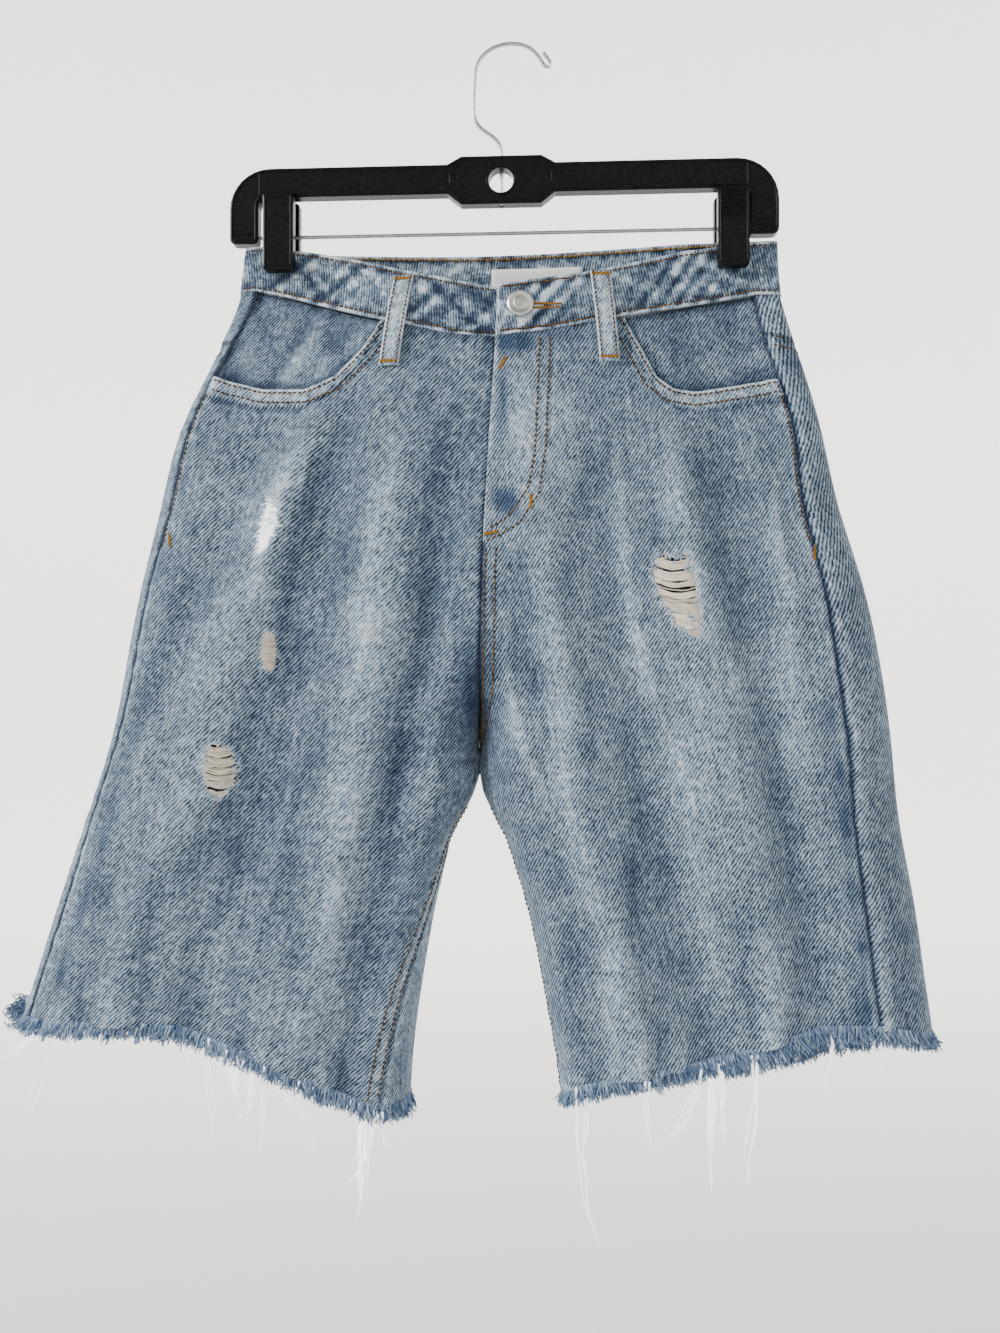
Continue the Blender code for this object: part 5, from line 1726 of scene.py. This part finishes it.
# ---------------------------------------------------------------- hanger

jaws = [f"clip_{side}_{face}_jaw" for side in ("right", "left") for face in ("front", "back")]
for name in ("hanger_bar", *jaws):
    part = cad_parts[name]
    part.data.materials.clear()
    part.data.materials.append(plastic)
for name in ("hanger_hook", "hanger_rod", "clip_right_spring", "clip_left_spring"):
    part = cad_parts[name]
    part.data.materials.clear()
    part.data.materials.append(steel)
HANGER_X = -5
BAR_HALF, BAR_TOP, BAR_LOW, BAR_THICK = 178, -78, -97, 9
ARM_LOW, ARM_WIDTH, SHOULDER = -127, 19, 27
BLOCK_TOP, BLOCK_LOW, BLOCK_HALF, BLOCK_SLOPE = -73, -104, 26, 9
JAW_FRONT = -12.6
JAWS = ((-149, -97, -147), (143, -99, -149.5))  # x, top and low of each clip's jaws
JAW_WIDTH = 20


def arc(centre_x, centre_z, radius, start, end, steps):
    angles = np.radians(np.linspace(start, end, steps + 1))
    return [(centre_x + radius * math.cos(a), centre_z + radius * math.sin(a)) for a in angles]


def bar_outline(inset):
    """Half of the bar's outline, from its top middle round the arm to its lower middle."""
    inner = BAR_HALF - ARM_WIDTH
    half = [(0, BLOCK_TOP - inset), (BLOCK_HALF, BLOCK_TOP - inset)]
    half += [(BLOCK_HALF + BLOCK_SLOPE, BAR_TOP - inset)]
    half += arc(BAR_HALF - SHOULDER, BAR_TOP - SHOULDER, SHOULDER - inset, 90, 0, 12)
    half += arc(BAR_HALF - 4, ARM_LOW + 4, 4 - inset, 0, -90, 4)
    half += arc(inner + 3, ARM_LOW + 3, 3 - inset, -90, -180, 4)
    half += arc(inner - 6, BAR_LOW - 6, 6 + inset, 0, 90, 4)
    half += [(BLOCK_HALF + BLOCK_SLOPE, BAR_LOW + inset)]
    half += [(BLOCK_HALF, BLOCK_LOW + inset), (0, BLOCK_LOW + inset)]
    return half


def detail(strands, points, y, radius):
    line = [(x, y, z) for x, z in points]
    strands.add(route(line, 1.2), radius, 0.5, 0.0)


trim = Strands(8)
for sign in (-1, 1):
    for y in (-BAR_THICK / 2, BAR_THICK / 2):
        detail(trim, [(HANGER_X + sign * x, z) for x, z in bar_outline(1.7)], y, 0.75)
        top, low = (BLOCK_HALF - 2, BLOCK_TOP - 2.5), (BLOCK_HALF + 7, (BAR_TOP + BAR_LOW) / 2 + 3)
        foot = (BLOCK_HALF - 2, BLOCK_LOW + 2.5)
        detail(trim, [(HANGER_X + sign * x, z) for x, z in (top, low, (low[0], low[1] - 6), foot)], y, 0.6)
        x = HANGER_X + sign * (BAR_HALF - ARM_WIDTH / 2)
        detail(trim, [(x - 5, ARM_LOW + 6), (x + 5, ARM_LOW + 6)], y, 0.7)
        x = HANGER_X + sign * (BAR_HALF - ARM_WIDTH - 1)
        detail(trim, [(x, BAR_TOP - 2), (x, BAR_LOW + 2)], y, 0.5)
    detail(trim, arc(HANGER_X, -89, 9.2, 0, 360, 40), sign * 6 * 0.78, 0.6)
for x, top, low in JAWS:
    for sign in (-1, 1):
        y, edge = sign * (-JAW_FRONT), JAW_WIDTH / 2 - 1.6
        rim = [(x - edge, low + 2.5), (x - edge, top - 2.5), (x + edge, top - 2.5), (x + edge, low + 2.5)]
        detail(trim, rim + [rim[0]], y, 0.55)
for i in range(11):
    z = JAWS[1][1] - 4.0 - 1.65 * i
    detail(trim, [(JAWS[1][0] - 7.5, z), (JAWS[1][0] + 7.5, z)], JAW_FRONT, 0.62)
dress(trim.make("hanger_trim"), plastic, "black_plastic")

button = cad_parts["button"]
button.data.materials.clear()
button.data.materials.append(brushed)


# ---------------------------------------------------------------- studio and camera


def studio():
    """A pale floor that turns up all round, far outside the object."""
    rings = []
    floor_z, reach, bend = -1.25, 6.0, 2.0
    profile = [(0.0005, floor_z), (reach - bend, floor_z)]
    for i in range(1, 13):
        a = math.pi / 2 * i / 12
        profile.append((reach - bend + bend * math.sin(a), floor_z + bend * (1 - math.cos(a))))
    profile.append((reach, 4.5))
    turns = 96
    for radius, z in profile:
        angles = [2 * math.pi * i / turns for i in range(turns)]
        rings.append([(radius * math.cos(a), radius * math.sin(a), z) for a in angles])
    points = np.array(rings).reshape(-1, 3)
    faces = []
    for r in range(len(profile) - 1):
        for i in range(turns):
            k = (i + 1) % turns
            faces.append((r * turns + i, r * turns + k, (r + 1) * turns + k, (r + 1) * turns + i))
    made = mesh_from("studio_floor", points, np.array(faces)[:, ::-1])
    pale = make_plain("Pale floor", (0.80, 0.79, 0.77), 0.9, speck=0.01, scale=3)
    tree = pale.node_tree
    glow = tree.nodes["Principled BSDF"]
    # The floor glows, more strongly further towards +Y behind the object: painted light that keeps the
    # backdrop bright.
    glow.inputs["Emission Color"].default_value = (1.0, 0.985, 0.96, 1)
    place = node(tree, "ShaderNodeTexCoord").outputs["Object"]
    behind = node(tree, "ShaderNodeSeparateXYZ", {0: place}).outputs[1]
    span = {0: behind, 1: 0.0, 2: 3.2, 3: 0.05, 4: 1.65}
    lit = node(tree, "ShaderNodeMapRange", span, interpolation_type="SMOOTHSTEP")
    tree.links.new(lit.outputs[0], glow.inputs["Emission Strength"])
    made.data.materials.append(pale)


def soft_light(name, place, target, size, power, colour=(1, 1, 1)):
    data = bpy.data.lights.new(name, "AREA")
    data.shape = "DISK"
    data.size = size
    data.energy = power
    data.color = colour
    made = bpy.data.objects.new(name, data)
    made.location = place
    made.rotation_mode = "QUATERNION"
    made.rotation_quaternion = (Vector(target) - Vector(place)).to_track_quat("-Z", "Y")
    bpy.context.scene.collection.objects.link(made)


studio()
MIDDLE = Vector((-0.006, 0, -0.404))
soft_light("Key", (-2.4, -1.25, 0.9), MIDDLE, 0.8, 100, (1, 0.985, 0.96))
soft_light("Fill", (2.2, -2.2, 0.3), MIDDLE, 2.2, 10)
soft_light("Back left", (-1.6, 2.2, 0.8), MIDDLE, 1.6, 20)
soft_light("Back right", (1.9, 2.0, 0.6), MIDDLE, 1.8, 15)

world = bpy.data.worlds.new("Studio")
bpy.context.scene.world = world
world.use_nodes = True
sky = world.node_tree.nodes["Background"]
sky.inputs["Color"].default_value = (0.93, 0.95, 1.0, 1)
sky.inputs["Strength"].default_value = 0.35

CAMERA_TURN = math.radians(3)
CAMERA_DISTANCE = 0.72
TARGET = Vector((-0.00586, 0, -0.40348))
camera_data = bpy.data.cameras.new("Camera")
camera_data.sensor_width = 36
camera_data.lens = 29.9
camera_data.clip_start = 0.02
camera = bpy.data.objects.new("Camera", camera_data)
camera.location = TARGET + Vector((math.sin(CAMERA_TURN), -math.cos(CAMERA_TURN), 0)) * CAMERA_DISTANCE
camera.rotation_euler = (math.pi / 2, 0, CAMERA_TURN)
bpy.context.scene.collection.objects.link(camera)
bpy.context.scene.camera = camera

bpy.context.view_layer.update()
